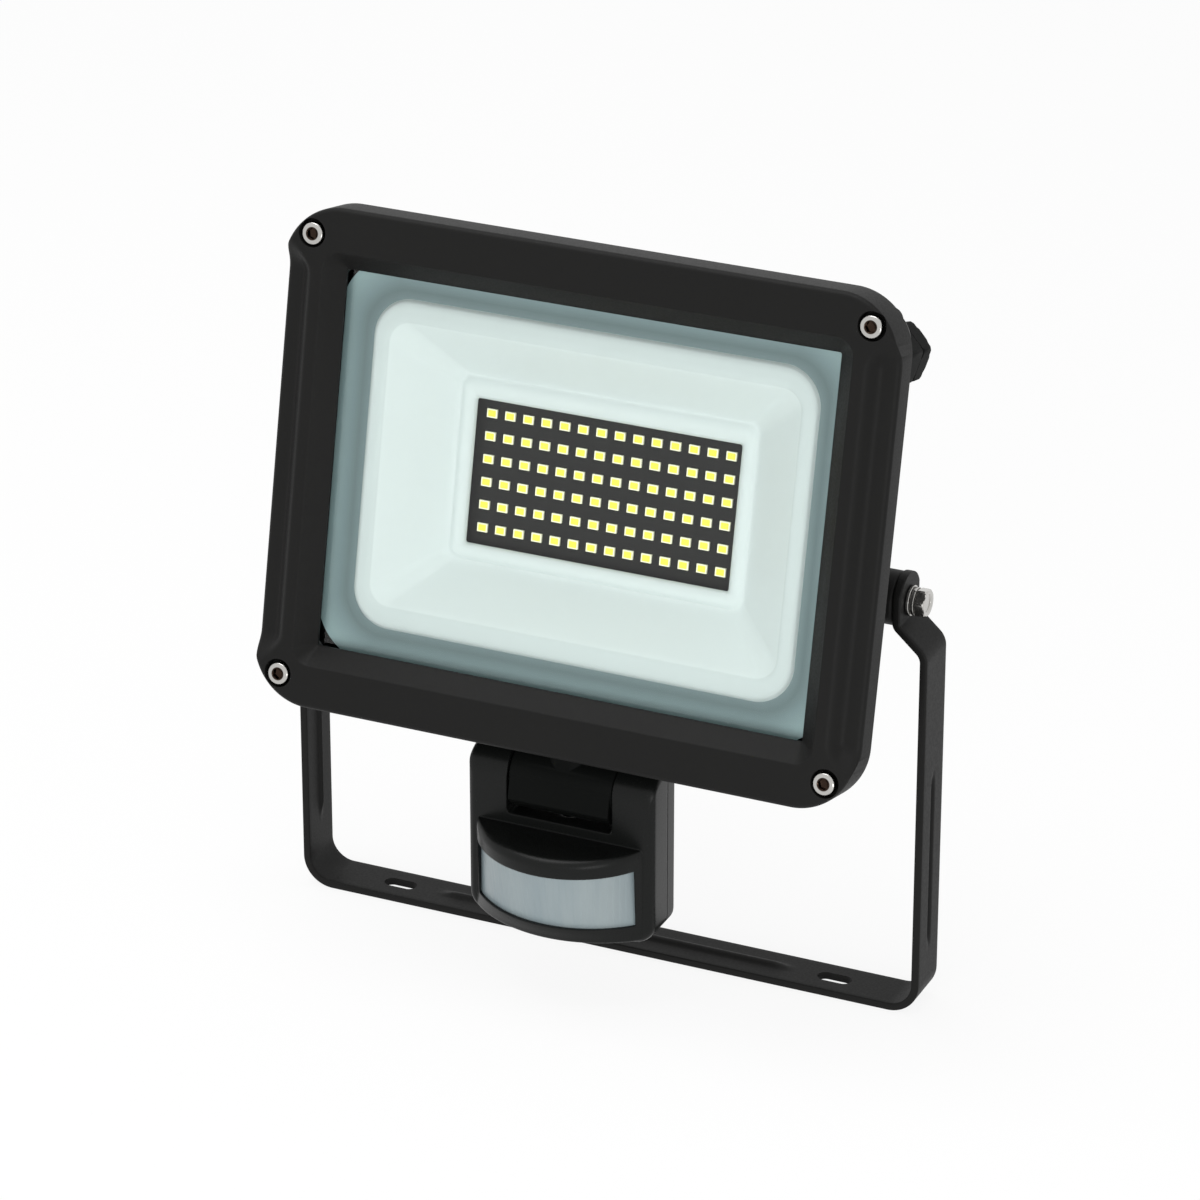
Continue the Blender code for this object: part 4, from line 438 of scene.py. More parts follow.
def led_packages():
    """All LED packages in one mesh: a pale housing round a lens of yellow phosphor.

    One package is rings of a rounded rectangle; the whole field is that package added to
    the places of a grid. The glow value is 1 on the phosphor and 0 on the housing.
    """
    angle = np.radians(np.arange(0, 360, 30) + 15)
    corner_x, corner_z = np.sign(np.cos(angle)), np.sign(np.sin(angle))
    rings, glow = [], []
    for w, h, r, out, value in ((1.75, 1.4, 0.12, -0.01, 0), (1.75, 1.4, 0.12, 0.62, 0),
                                (1.68, 1.33, 0.12, 0.72, 0), (1.32, 1.02, 0.3, 0.72, 0),
                                (1.28, 0.98, 0.3, 0.68, 1), (0.7, 0.5, 0.3, 0.66, 1),
                                (0.0, 0.0, 0.0, 0.66, 1)):
        x = corner_x * (w - r) + r * np.cos(angle)
        z = corner_z * (h - r) + r * np.sin(angle)
        rings.append(np.stack([x, np.full_like(x, -out), z], -1))
        glow.append(np.full(len(x), float(value)))
    package = np.stack(rings)
    column = (np.arange(LED_COLUMNS) - (LED_COLUMNS - 1) / 2) * LED_PITCH_X
    row = (np.arange(LED_ROWS) - (LED_ROWS - 1) / 2) * LED_PITCH_Z
    places = np.stack([g.ravel() for g in np.meshgrid(column, row)], -1)
    grids = []
    for x, z in places:
        grids.append(package + np.array([x, FRONT_Y + PCB_T, CENTRE_Z + LED_Z + z]))
    field = surface("led_packages", grids, HEAD, "head", sharp=25,
                    attribute=("glow", np.tile(np.stack(glow), (len(places), 1, 1))))
    return field


# Bracket

STRIP_W, STRIP_T = 16.6, 2.5
ARM_X = 107.8 - STRIP_T / 2
ARM_TOP_X = ARM_X - 0.1
EAR_X = ARM_X - 9.35
BEAD_W, BEAD_H = 5.4, 1.2
BEND_R, JOGGLE_LOW, JOGGLE_HIGH = 7.7, 14.4, 6.0


def arc_steps(corner, heading, turn, radius, count):
    """Stations (x, z, heading) of a round bend whose straight sides would meet at the corner."""
    reach = radius * math.tan(abs(turn) / 2)
    side = math.copysign(1.0, turn)
    x0 = corner[0] - reach * math.cos(heading) - side * radius * math.sin(heading)
    z0 = corner[1] - reach * math.sin(heading) + side * radius * math.cos(heading)
    angle = heading + turn * np.linspace(0, 1, count)
    return np.stack([x0 + side * radius * np.sin(angle), z0 - side * radius * np.cos(angle),
                     angle, np.full(count, STRIP_W / 2), np.zeros(count)], -1)


def bead_height(along, start, end, run_out=7.0):
    """A pressed bead's height: smoothstep up from its start and down to its end."""
    share = np.clip(np.minimum(along - start, end - along) / run_out, 0, 1)
    return BEAD_H * share * share * (3 - 2 * share)


def strip_path():
    """Stations (x, z, heading, half width, bead) from the base's middle to the right ear's tip."""
    mid = STRIP_T / 2
    x = np.linspace(0, ARM_X - 9.2, 60)
    base = np.stack([x, np.full_like(x, mid), 0 * x, np.full_like(x, STRIP_W / 2),
                     bead_height(x, -62.5, 62.5)], -1)
    bend = arc_steps((ARM_X, mid), 0.0, math.pi / 2, BEND_R + mid, 16)
    z = np.linspace(10.5, PIVOT_HEIGHT - 18.0, 62)
    arm = np.stack([ARM_X + (ARM_TOP_X - ARM_X) * (z - z[0]) / (z[-1] - z[0]), z,
                    np.full_like(z, math.pi / 2), np.full_like(z, STRIP_W / 2),
                    bead_height(z, 20.4, PIVOT_HEIGHT - 56.0)], -1)
    slope = math.atan2(ARM_TOP_X - EAR_X, JOGGLE_LOW - JOGGLE_HIGH)
    joggle = [arc_steps((ARM_TOP_X, PIVOT_HEIGHT - JOGGLE_LOW), math.pi / 2, slope, 4.0 + mid,
                        12),
              arc_steps((EAR_X, PIVOT_HEIGHT - JOGGLE_HIGH), math.pi / 2 + slope, -slope,
                        1.2 + mid, 9)]
    angle = np.linspace(math.acos(8.3 / 9.0), math.radians(86), 14)
    ear = np.stack([np.full_like(angle, EAR_X), PIVOT_HEIGHT + 9.0 * np.sin(angle),
                    np.full_like(angle, math.pi / 2), 9.0 * np.cos(angle), 0 * angle], -1)
    return np.concatenate([base, bend, arm] + joggle + [ear])


def bracket():
    """Strip carried along its path: a section with round edges and a pressed bead."""
    right = strip_path()
    left = right[:0:-1] * np.array([-1, 1, -1, 1, 1])
    path = np.concatenate([left, right])
    edge = 0.55
    turn = np.linspace(0, np.pi / 2, 5)
    across = np.concatenate([[0.0], np.linspace(0.12, 1, 12)]) * BEAD_W / 2
    bead = 0.5 + 0.5 * np.cos(np.pi * across / (BEAD_W / 2))
    v = np.concatenate([across, [4.2, 6.5], 8.3 - edge + edge * np.sin(turn)])
    u = np.concatenate([0 * across + STRIP_T / 2, [STRIP_T / 2] * 2,
                        STRIP_T / 2 - edge + edge * np.cos(turn)])
    share = np.concatenate([bead, np.zeros(len(v) - len(bead))])
    v = np.concatenate([-v[:0:-1], v, v[::-1], -v[1:]])
    u = np.concatenate([u[:0:-1], u, -u[::-1], -u[1:]])
    share = np.concatenate([share[:0:-1], share, share[::-1], share[1:]])
    scale = path[:, 3:4] / (STRIP_W / 2)
    narrow = np.where(np.abs(path[:, 2:3]) > 1.2, 3.0, 1.0)
    off = u[None] + share[None] ** narrow * path[:, 4:5]
    x = path[:, 0:1] - off * np.sin(path[:, 2:3])
    z = path[:, 1:2] + off * np.cos(path[:, 2:3])
    y = v[None] * scale
    strip = surface("bent_strip", [capped(np.stack([x, y, z], -1))], GROUND, "bracket")
    angle = np.linspace(0, 2 * np.pi, 48, endpoint=False)
    slots = []
    for side in (-1, 1):
        ring_x = side * 76.5 + np.sign(np.cos(angle)) * (5.65 - 2.6) + 2.6 * np.cos(angle)
        ring_y = 2.6 * np.sin(angle)
        rings = [np.stack([ring_x, ring_y, np.full_like(angle, h)], -1) for h in (-2.0, 6.0)]
        slots.append(capped(np.stack(rings)))
        slots.append(rod(2.8, EAR_X - 4, EAR_X + 4, "x" if side > 0 else "-x",
                         (0, 0, PIVOT_HEIGHT)))
    shape_by(strip, surface("slots", slots, GROUND), "DIFFERENCE")
    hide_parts("bracket")
    return strip


def pivot_hardware(side, name):
    """Flat washer, split spring washer and hexagon bolt at one ear."""
    axis = "x" if side > 0 else "-x"
    flat_x = 98.45 + 0.3
    ring = [(2.8, 0), (4.65, 0), (4.8, 0.12), (4.8, 0.78), (4.65, 0.9), (2.8, 0.9)]
    washer = surface("washer_" + name, [laid(turned(ring, 64), axis, (side * flat_x, 0, 0))],
                     HEAD, "head", closed=True)
    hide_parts("flat_washer_" + name)
    angle = np.radians(np.linspace(7, 353, 72))[:, None]
    radius = np.array([2.8, 4.3, 4.4, 4.4, 4.3, 2.8])[None]
    height = np.array([0, 0, 0.1, 1.0, 1.1, 1.1])[None]
    twist = angle + math.radians(7) * (height / 1.1 - 0.5) - side * math.pi / 2
    coil = np.stack([radius * np.cos(twist), radius * np.sin(twist), height + 0 * twist], -1)
    spring_x = flat_x + 0.9 + 0.3
    spring = surface("split_washer_" + name,
                     [capped(laid(coil, axis, (side * spring_x, 0, 0)))], HEAD, "head")
    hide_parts("spring_washer_" + name)
    bolt_x = spring_x + 1.1 + 0.3
    profile = [(0, -20), (2.1, -20), (2.5, -19.5), (2.5, 0), (9, 0, True), (9, 2.6, True),
               (4.35, 2.9, True), (4.0, 3.2, True), (2.9, 3.2), (2.7, 3.05), (2.5, 2.75),
               (0, 2.7)]
    bolt = surface("hex_bolt_" + name,
                   [laid(turned(profile, 72, 8.0), axis, (side * bolt_x, 0, 0))],
                   HEAD, "head", sharp=30)
    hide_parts("pivot_bolt_" + name)
    return [washer, spring, bolt]


def cable_gland():
    """Hexagon body and nut of the gland, with chamfered corners, and the plug between them."""
    place = (GLAND_X, FRONT_Y + BACK_T, CENTRE_Z + GLAND_Z)
    flats, corner = 17.8, math.radians(14.6)
    top = 0.3 + 10.2
    body = [(4.4, -7), (5.8, -7), (6.0, -6.8), (6.0, 0.3), (9.3, 0.3, True), (9.9, 0.55, True),
            (20, 1.2, True), (20, top - 0.9, True), (9.9, top - 0.35, True),
            (9.3, top, True), (7.0, top), (7.0, top + 4.2), (6.0, top + 4.2), (6.0, top - 0.6),
            (4.4, top - 0.6)]
    low = top + 0.3
    high = low + 8.0
    nut = [(7.3, low), (9.3, low, True), (9.9, low + 0.35, True), (20, low + 0.9, True),
           (20, high - 2.4, True), (9.9, high - 1.5, True), (9.1, high - 0.7, True),
           (7.9, high - 0.1, True), (7.4, high), (5.3, high), (5.0, high - 0.3),
           (5.0, high - 1.6), (7.3, high - 1.6)]
    seal = [(3.2, top - 0.3), (5.7, top - 0.3), (5.7, top + 4.2), (3.5, top + 4.2),
            (3.2, top + 3.9)]
    pieces = []
    for name, node, profile in (("gland_hex", "gland_body", body), ("gland_cap", "gland_nut", nut),
                                ("gland_plug", "gland_seal", seal)):
        grid = laid(turned(profile, 96, flats, corner), "y", place)
        piece = surface(name, [grid], HEAD, "head", closed=True, sharp=28)
        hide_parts(node)
        pieces.append(piece)
    return pieces


# Sensor

SENSOR_W, SENSOR_D, SENSOR_BACK, SENSOR_LOW = 31.7, 8.5, 9.1, -48.2
SEAM_Y = 3.0
HOOD_TOP, LENS_TOP, LENS_LOW, BULGE_LOW = -15.3, -21.5, -41.2, -46.9
BULGE_CHORD, LENS_CHORD = 28.4, 27.1
COVER_SCREWS = [(x, z) for z in (-16.6, -42.4) for x in (-27.0, 27.0)]


def rounding(distance, radius):
    """How far a round edge draws the wall in at a distance from the face."""
    left = np.clip(radius - distance, 0, radius)
    return radius - np.sqrt(radius ** 2 - left ** 2)


def sensor_block(front, back):
    """The sensor's body between two depths, as rings along Y.

    Each ring has large round lower corners and smaller upper ones. Its top follows a half
    round about the tilt axis, and its sides and bottom are drawn in at the round edges.
    """
    quarter = np.radians(np.arange(0, 91, 7.5))
    depth = np.concatenate([-SENSOR_D + 2.7 * (1 - np.cos(np.linspace(0, np.pi / 2, 12))),
                            np.linspace(-5, 7, 13),
                            SENSOR_BACK - 1.6 * (1 - np.cos(np.linspace(0, np.pi / 2, 10)))])
    depth = np.unique(np.round(np.clip(depth, front, back), 3))
    rings = []
    for y in depth:
        rear = rounding(SENSOR_BACK - y, 1.2)
        side = SENSOR_W - rounding(y + SENSOR_D, 2.7) - rear
        low = SENSOR_LOW + rounding(y + SENSOR_D, 1.0) + rear
        reach = SENSOR_D if y < 0 else SENSOR_BACK
        high = SENSOR_D * math.sqrt(max(0.0, 1 - (y / reach) ** 2))
        under, over = 5.8, 2.5
        x = np.concatenate([side - under + under * np.sin(quarter),
                            side - over + over * np.cos(quarter)])
        z = np.concatenate([low + under - under * np.cos(quarter),
                            high - over + over * np.sin(quarter)])
        x, z = np.concatenate([x, -x[::-1]]), np.concatenate([z, z[::-1]])
        rings.append(np.stack([x, np.full_like(x, y), z], -1))
    return capped(np.stack(rings))


def bow(chord, bulge, steps=49):
    """Round arc that bulges forward from the sensor's face: (x, y) from chord and bulge."""
    radius = (chord ** 2 + bulge ** 2) / (2 * bulge)
    half = math.asin(min(1.0, chord / radius))
    angle = np.linspace(-half, half, steps)
    return radius * np.sin(angle), -SENSOR_D - bulge + radius * (1 - np.cos(angle))


def bow_layers(stations, root_y):
    """Closed loft up Z of bowed arcs, each (z, chord, bulge), closed straight along root_y."""
    rings = []
    for z, chord, bulge in stations:
        x, y = bow(chord, bulge)
        x = np.concatenate([x, [chord, -chord]])
        y = np.concatenate([y, [root_y, root_y]])
        rings.append(np.stack([x, y, np.full_like(x, z)], -1))
    return capped(np.stack(rings))


def lens_bulge(z):
    """How far the lens bows out at a height: straight from its lower to its upper edge."""
    return 12.0 + (z - LENS_LOW) / (LENS_TOP - LENS_LOW) * 4.0


def notch_tool():
    """Cutter for the gap between the ears, with rounded lower corners."""
    turn = np.linspace(0, np.pi / 2, 7)
    radius, half, floor = 1.4, 18.0, -12.0
    x = np.concatenate([half - radius + radius * np.sin(turn), [half, -half],
                        -half + radius - radius * np.cos(turn)])
    z = np.concatenate([floor + radius - radius * np.cos(turn), [20, 20],
                        floor + radius - radius * np.sin(turn)])
    rings = [np.stack([x, np.full_like(x, y), z], -1) for y in (-20.0, 20.0)]
    return capped(np.stack(rings))


def sensor_front():
    """Front shell: body, bowed hood and rim, window pocket, notch and setting holes."""
    shell = surface("sensor_front_shell", [sensor_block(-30, SEAM_Y - 0.15)], SENSOR, "sensor")
    edge, nose = 0.9, 2.8
    layers = []
    for angle in np.linspace(0, math.pi / 2, 6):
        cut = edge * (1 - math.sin(angle))
        layers.append((BULGE_LOW + edge * (1 - math.cos(angle)), BULGE_CHORD - cut, 11.2 - cut))
    layers += [(LENS_LOW - 2.5, BULGE_CHORD, 12.6), (LENS_LOW, BULGE_CHORD, 13.4),
               (LENS_TOP, BULGE_CHORD, 18.2)]
    for angle in np.linspace(0, math.pi / 2, 11):
        cut = nose * (1 - math.cos(angle))
        layers.append((HOOD_TOP - nose * (1 - math.sin(angle)), BULGE_CHORD - 0.3 * cut,
                       18.7 - cut))
    shape_by(shell, surface("bulge", [bow_layers(layers, -6.0)], SENSOR), "UNION")
    shape_by(shell, surface("notch", [notch_tool()], SENSOR), "DIFFERENCE")
    cavity = box_grid((-29.5, 29.5), (-6.5, 60), (-45, -14))
    shape_by(shell, surface("cavity", [cavity], SENSOR), "DIFFERENCE")
    room = [(z, LENS_CHORD + 0.3, lens_bulge(z) + 0.3) for z in (-45.0, HOOD_TOP - 2.0)]
    shape_by(shell, surface("room", [bow_layers(room, 0.0)], SENSOR), "DIFFERENCE")
    window = box_grid((-LENS_CHORD + 0.3, LENS_CHORD - 0.3), (-60, -SENSOR_D - 0.5),
                      (LENS_LOW, LENS_TOP))
    shape_by(shell, surface("window", [window], SENSOR), "DIFFERENCE")
    bosses = [rod(2.9, -7.0, SEAM_Y - 0.15, "y", (x, 0, z)) for x, z in COVER_SCREWS]
    shape_by(shell, surface("bosses", bosses, SENSOR), "UNION")
    angle = np.radians(np.arange(90, 271, 10))
    slot = np.stack([np.concatenate([3.8 * np.cos(angle), [60, 60]]),
                     np.concatenate([3.8 * np.sin(angle), [-3.8, 3.8]])], -1)
    slot = np.stack([np.concatenate([np.full((len(slot), 1), x), slot], 1)
                     for x in (-22.7, 22.7)])
    shape_by(shell, surface("pin_slots", [capped(slot)], SENSOR), "DIFFERENCE")
    holes = [rod(3.6, -50, -44, "z", (x, -3.0, 0)) for x in (-13.0, 0.0, 13.0)]
    holes += [rod(1.5, -1.9, 20, "y", (x, 0, z), 24) for x, z in COVER_SCREWS]
    holes.append(rod(3.2, -15, -11, "z"))
    shape_by(shell, surface("holes", holes, SENSOR), "DIFFERENCE")
    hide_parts("sensor_front")
    return shell


def sensor_back():
    """Back cover with its pillars, board ribs and four recessed screw seats."""
    shell = surface("sensor_back_shell", [sensor_block(SEAM_Y + 0.15, 30)], SENSOR, "sensor")
    shape_by(shell, surface("notch", [notch_tool()], SENSOR), "DIFFERENCE")
    cavity = box_grid((-29.5, 29.5), (-60, 6.5), (-45, -14))
    shape_by(shell, surface("cavity", [cavity], SENSOR), "DIFFERENCE")
    pillars = [rod(2.9, SEAM_Y + 0.15, 7.5, "y", (x, 0, z)) for x, z in COVER_SCREWS]
    pillars += [box_grid((x - 0.75, x + 0.75), (0.9, 7.5), (-38, -18)) for x in (-10, 10)]
    shape_by(shell, surface("pillars", pillars, SENSOR), "UNION")
    profile = [(0, -1), (1.5, -1), (1.5, 6.8), (2.5, 6.8), (2.5, 8.3), (2.75, 8.55),
               (2.75, 12), (0, 12)]
    bores = [laid(turned(profile, 36), "y", (x, 0, z)) for x, z in COVER_SCREWS]
    bores.append(rod(3.8, -22.7, 22.7, "x"))
    shape_by(shell, surface("bores", bores, SENSOR), "DIFFERENCE")
    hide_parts("sensor_back")
    return shell


def lens():
    """Milky lens: an arc up a leaning wall, with the fine upright steps of a Fresnel lens.

    The radius is the bow's, less a small saw tooth across the arc; the inner wall is smooth.
    """
    steps = 241
    share = np.linspace(-1, 1, steps)
    rows = []
    for z in (LENS_LOW - 1.5, LENS_LOW + 6, LENS_TOP - 6, LENS_TOP + 1.5):
        x, y = bow(LENS_CHORD, lens_bulge(z), steps)
        tooth = 0.10 * np.mod(share * 15, 1.0) * (1 - share ** 8)
        inner_x, inner_y = bow(LENS_CHORD - 1.2, lens_bulge(z) - 1.2, steps)
        x = np.concatenate([x, inner_x[::-1]])
        y = np.concatenate([y + tooth, inner_y[::-1]])
        rows.append(np.stack([x, y, np.full_like(x, z)], -1))
    grid = np.stack(rows)
    half = grid.shape[1] // 2
    outer, inner = grid[:, :half], grid[:, half:][:, ::-1]
    loop = np.concatenate([outer, inner[::-1]])
    pane = surface("lens_pane", [loop], SENSOR, "sensor", around=False, closed=True, sharp=25)
    close_ends(pane)
    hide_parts("fresnel_lens")
    return pane


def close_ends(piece):
    """Fills the open ends of a tube and turns its faces outwards."""
    work = bmesh.new()
    work.from_mesh(piece.data)
    bmesh.ops.holes_fill(work, edges=[e for e in work.edges if e.is_boundary])
    bmesh.ops.recalc_face_normals(work, faces=work.faces)
    work.to_mesh(piece.data)
    work.free()


def neck():
    """Neck with its collar, cross knuckle, stub pins and a keel: a dark solid that fills the notch
    below and stands in for the shade there.
    """
    collar_top = 13.1 - 0.6 - 1.2
    stem = [(0, 0), (7.4, 0), (7.4, collar_top - 1.5), (9.6, collar_top - 1.5),
            (9.8, collar_top - 1.3), (9.8, collar_top - 0.2), (9.6, collar_top),
            (5.0, collar_top), (5.0, 29.9), (4.8, 30.0), (0, 30.0)]
    moulding = surface("neck_moulding", [laid(turned(stem, 72), "z")], NECK, "sensor_neck")
    half = 17.5
    cross = [(0, -half - 4.4), (3.5, -half - 4.4), (3.5, -half), (7.6, -half),
             (8.02, -half + 0.18), (8.2, -half + 0.6), (8.2, half - 0.6),
             (8.02, half - 0.18), (7.6, half), (3.5, half), (3.5, half + 4.4), (0, half + 4.4)]
    shape_by(moulding, surface("cross", [laid(turned(cross, 96), "x")], NECK), "UNION")
    # Painted shade: the keel fills the notch under the knuckle, where only shade shows.
    lower = np.radians(np.linspace(225, 315, 13))
    shade_keel_y = np.concatenate([[-8.2], 11.6 * np.cos(lower), [8.2]])
    shade_keel_z = np.concatenate([[-0.5], 11.6 * np.sin(lower), [-0.5]])
    shade_keel = [np.stack([np.full_like(shade_keel_y, x), shade_keel_y, shade_keel_z], -1) for x in (-17.0, 17.0)]
    shape_by(moulding, surface("shade_keel", [capped(np.stack(shade_keel))], NECK), "UNION")
    shape_by(moulding, surface("wire_bore", [rod(3.2, -14.0, 31.2, "z")], NECK), "DIFFERENCE")
    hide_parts("sensor_neck")
    return moulding


def cover_screw(number, x, z):
    """Pan head screw with a cross recess, in the back cover."""
    profile = [(0, -8), (0.9, -8), (1.2, -7.5), (1.2, 0), (2.1, 0), (2.2, 0.12), (2.2, 0.75),
               (2.05, 1.1), (1.6, 1.33), (1.0, 1.4), (0, 1.4)]
    place = (x, SENSOR_D - 1.4, z)
    screw = surface("pan_screw_%d" % number, [laid(turned(profile, 40), "y", place)], SENSOR,
                    "sensor")
    arms = [box_grid((x - a, x + a), (SENSOR_D - 0.75, SENSOR_D + 1), (z - b, z + b))
            for a, b in ((1.25, 0.24), (0.24, 1.25))]
    for arm in arms:
        shape_by(screw, surface("recess", [arm], SENSOR), "DIFFERENCE")
    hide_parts("cover_screw_%d" % number)
    return screw


def dial(name, x):
    """Small ribbed knob through the sensor's underside: its radius ripples round the rim."""
    angle = np.linspace(0, 2 * np.pi, 144, endpoint=False)
    rows = []
    for radius, ripple, h in ((0.0, 0, -1.2), (2.8, 0, -1.2), (3.1, 0.5, -1.1), (3.24, 1, -0.9),
                              (3.24, 1, 0.4), (3.3, 0, 0.5), (3.3, 0, 3.9), (0.0, 0, 3.9)):
        r = radius + ripple * 0.06 * np.cos(24 * angle)
        rows.append(np.stack([r * np.cos(angle) + x, r * np.sin(angle) - 3.0,
                              np.full_like(r, SENSOR_LOW + h)], -1))
    knob = surface(name + "_knob", [np.stack(rows)], SENSOR, name)
    slot = box_grid((x - 5, x + 5), (-3.45, -2.55), (SENSOR_LOW - 3, SENSOR_LOW - 0.2))
    shape_by(knob, surface("slot", [slot], SENSOR), "DIFFERENCE")
    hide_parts(name)
    return knob


# Rear housing

def fin(x):
    """One cooling fin as rings up its height: a thin blade with round ends, narrowing to a
    round tip. Its half thickness and half length fall straight from root to tip."""
    angle = np.radians(np.arange(0, 360, 15))
    side = np.sign(np.sin(angle + 1e-6))
    rings = []
    tip = 0.6 * np.sin(np.linspace(0, np.pi / 2, 5))
    heights = np.concatenate([[-1.0, 4, 9, 14], 18.9 + tip])
    for h, drawn_in in zip(heights, np.concatenate([np.zeros(4), 0.6 - 0.6 * np.sqrt(
            np.clip(1 - (tip / 0.6) ** 2, 0, 1))])):
        share = (h + 1) / 20.5
        half = 1.3 - 0.45 * share - drawn_in
        length = 66.0 - 5.0 * share - drawn_in
        rings.append(in_head(x + half * np.cos(angle), BACK_T + h,
                             side * (length - half) + half * np.sin(angle)))
    return capped(np.stack(rings))


def rear_housing():
    """Cast tray as rings from the cavity's floor out over the flange and round the back, with
    fins, pivot lugs, neck boss and screw bosses joined on and the holes cut through."""
    rings = []

    def ring(inset, t, corner=None):
        """Adds the frame's outline, moved inwards, at depth t."""
        x, z = inset_ring(inset, corner)
        rings.append(in_head(x, t, z))

    ring(12.3, 33.5, 22.0)
    ring(7.3, 13.6, 27.0)
    ring(1.9, 13.6)
    turn = np.linspace(0, np.pi / 2, 5)
    for a in turn:
        ring(1.9 - 0.5 * math.sin(a), 14.1 - 0.5 * math.cos(a))
    for a in turn:
        ring(1.9 - 0.5 * math.cos(a), 16.5 + 0.5 * math.sin(a))
    ring(4.4, 17.0)
    for a in turn:
        ring(4.4 - 0.55 * math.sin(a), 17.6 - 0.6 * math.cos(a))
    for share in (0.3, 0.6, 0.9):
        ring(3.85 + 4.6 * share, 17.6 + 16.9 * share)
    for a in np.linspace(0.2, math.pi / 2, 7):
        ring(10.6 - 2.1 * math.cos(a), 34.4 + 2.1 * math.sin(a))
    tray = surface("housing_casting", [capped(np.stack(rings))], HEAD, "head")
    shape_by(tray, surface("fins", [fin((n - 7) * 9.0) for n in range(15)], HEAD), "UNION")
    added, holes = [], []
    for side in (-1, 1):
        axis = "x" if side > 0 else "-x"
        lug = [(0, 62.0), (8.5, 62.0), (8.5, 95.05), (8.4, 95.3), (8.15, 95.55), (7.9, 95.65),
               (0, 95.65)]
        added.append(laid(turned(lug, 72), axis))
        holes.append(rod(2.8, 80.35, 97.0, axis, sides=32))
    boss = [(0, -58.5), (9.9, -58.5), (10.2, -58.2), (10.2, -47.4), (9.9, -47.1), (0, -47.1)]
    added.append(laid(turned(boss, 72), "z", (0, KNUCKLE_Y, 0)))
    holes.append(rod(5.3, -60, -45, "z", (0, KNUCKLE_Y, 0)))
    for sx in (-1, 1):
        for sz in (-1, 1):
            place = (sx * SCREW_X, FRONT_Y, CENTRE_Z + sz * SCREW_Z)
            added.append(laid(turned([(0, 14.6), (3.9, 14.6), (3.9, 17.3), (3.7, 17.5), (0, 17.5)],
                                     40), "y", place))
            holes.append(rod(2.3, 12.0, 16.6, "y", place, 32))
            place = (sx * BOARD_SCREW_X, FRONT_Y, CENTRE_Z + sz * BOARD_SCREW_Z)
            holes.append(rod(1.5, 32.5, 36.0, "y", place, 20))
    for x in (-64.25, 29.75):
        holes.append(rod(1.5, 32.5, 36.0, "y", (x, FRONT_Y, CENTRE_Z + 44.45), 20))
    thread = [(0, 25.5), (6.3, 25.5), (6.3, 35.5), (7.5, 35.5), (7.5, 37.5), (0, 37.5)]
    holes.append(laid(turned(thread, 64), "y", (GLAND_X, FRONT_Y, CENTRE_Z + GLAND_Z)))
    for grid in added:
        shape_by(tray, surface("boss", [grid], HEAD), "UNION")
    shape_by(tray, surface("holes", holes, HEAD), "DIFFERENCE")
    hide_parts("rear_housing")
    return tray


# Finishes

def finish(name, colour, roughness, metallic=0.0, specular=0.5):
    """A material and the handles that the patterns below link to."""
    material = bpy.data.materials.new(name)
    material.use_nodes = True
    tree = material.node_tree
    shader = tree.nodes["Principled BSDF"]
    shader.inputs["Base Color"].default_value = (*colour, 1)
    shader.inputs["Roughness"].default_value = roughness
    shader.inputs["Metallic"].default_value = metallic
    shader.inputs["Specular IOR Level"].default_value = specular
    return material, tree, shader


def node(tree, kind, **settings):
    """A new node with its inputs or its own settings filled in."""
    made = tree.nodes.new(kind)
    for key, value in settings.items():
        if key in made.inputs:
            made.inputs[key].default_value = value
        else:
            setattr(made, key, value)
    return made


def noise(tree, scale, detail=2.0):
    """Noise on the piece's own coordinates; scale counts features in a metre."""
    place = node(tree, "ShaderNodeTexCoord")
    made = node(tree, "ShaderNodeTexNoise", Scale=scale, Detail=detail)
    tree.links.new(place.outputs["Object"], made.inputs["Vector"])
    return made


def spread(tree, source, low, high, to_low, to_high):
    """A value mapped from one range to another."""
    made = node(tree, "ShaderNodeMapRange")
    made.inputs["From Min"].default_value = low
    made.inputs["From Max"].default_value = high
    made.inputs["To Min"].default_value = to_low
    made.inputs["To Max"].default_value = to_high
    tree.links.new(source, made.inputs["Value"])
    return made.outputs["Result"]


def blend_colour(tree, factor, first, second):
    """A mix of two colours by a factor."""
    made = node(tree, "ShaderNodeMix", data_type="RGBA")
    pair = [socket for socket in made.inputs if socket.type == "RGBA"]
    for socket, colour in zip(pair, (first, second)):
        socket.default_value = (*colour, 1)
    tree.links.new(factor, made.inputs[0])
    return [socket for socket in made.outputs if socket.type == "RGBA"][0]


def grain(tree, shader, height_source, strength, distance, soften=0.0):
    """Fine bumps, on edges that are rounded by the soften radius."""
    bump = node(tree, "ShaderNodeBump")
    bump.inputs["Strength"].default_value = strength
    bump.inputs["Distance"].default_value = distance
    tree.links.new(height_source, bump.inputs["Height"])
    if soften > 0:
        edge = node(tree, "ShaderNodeBevel", samples=4)
        edge.inputs["Radius"].default_value = soften
        tree.links.new(edge.outputs["Normal"], bump.inputs["Normal"])
    tree.links.new(bump.outputs["Normal"], shader.inputs["Normal"])


def powder_coat(name, soften):
    """Satin black powder coat: slow colour drift, orange peel bumps, uneven gloss."""
    material, tree, shader = finish(name, (0.0055, 0.0055, 0.0053), 0.5, specular=0.14)
    drift = noise(tree, 18.0, 3.0)
    colour = blend_colour(tree, drift.outputs["Fac"], (0.0050, 0.0050, 0.0048),
                          (0.0066, 0.0065, 0.0062))
    tree.links.new(colour, shader.inputs["Base Color"])
    peel = noise(tree, 1500.0, 2.0)
    tree.links.new(spread(tree, peel.outputs["Fac"], 0.3, 0.7, 0.46, 0.56),
                   shader.inputs["Roughness"])
    grain(tree, shader, peel.outputs["Fac"], 0.12, 0.0001, soften)
    return material


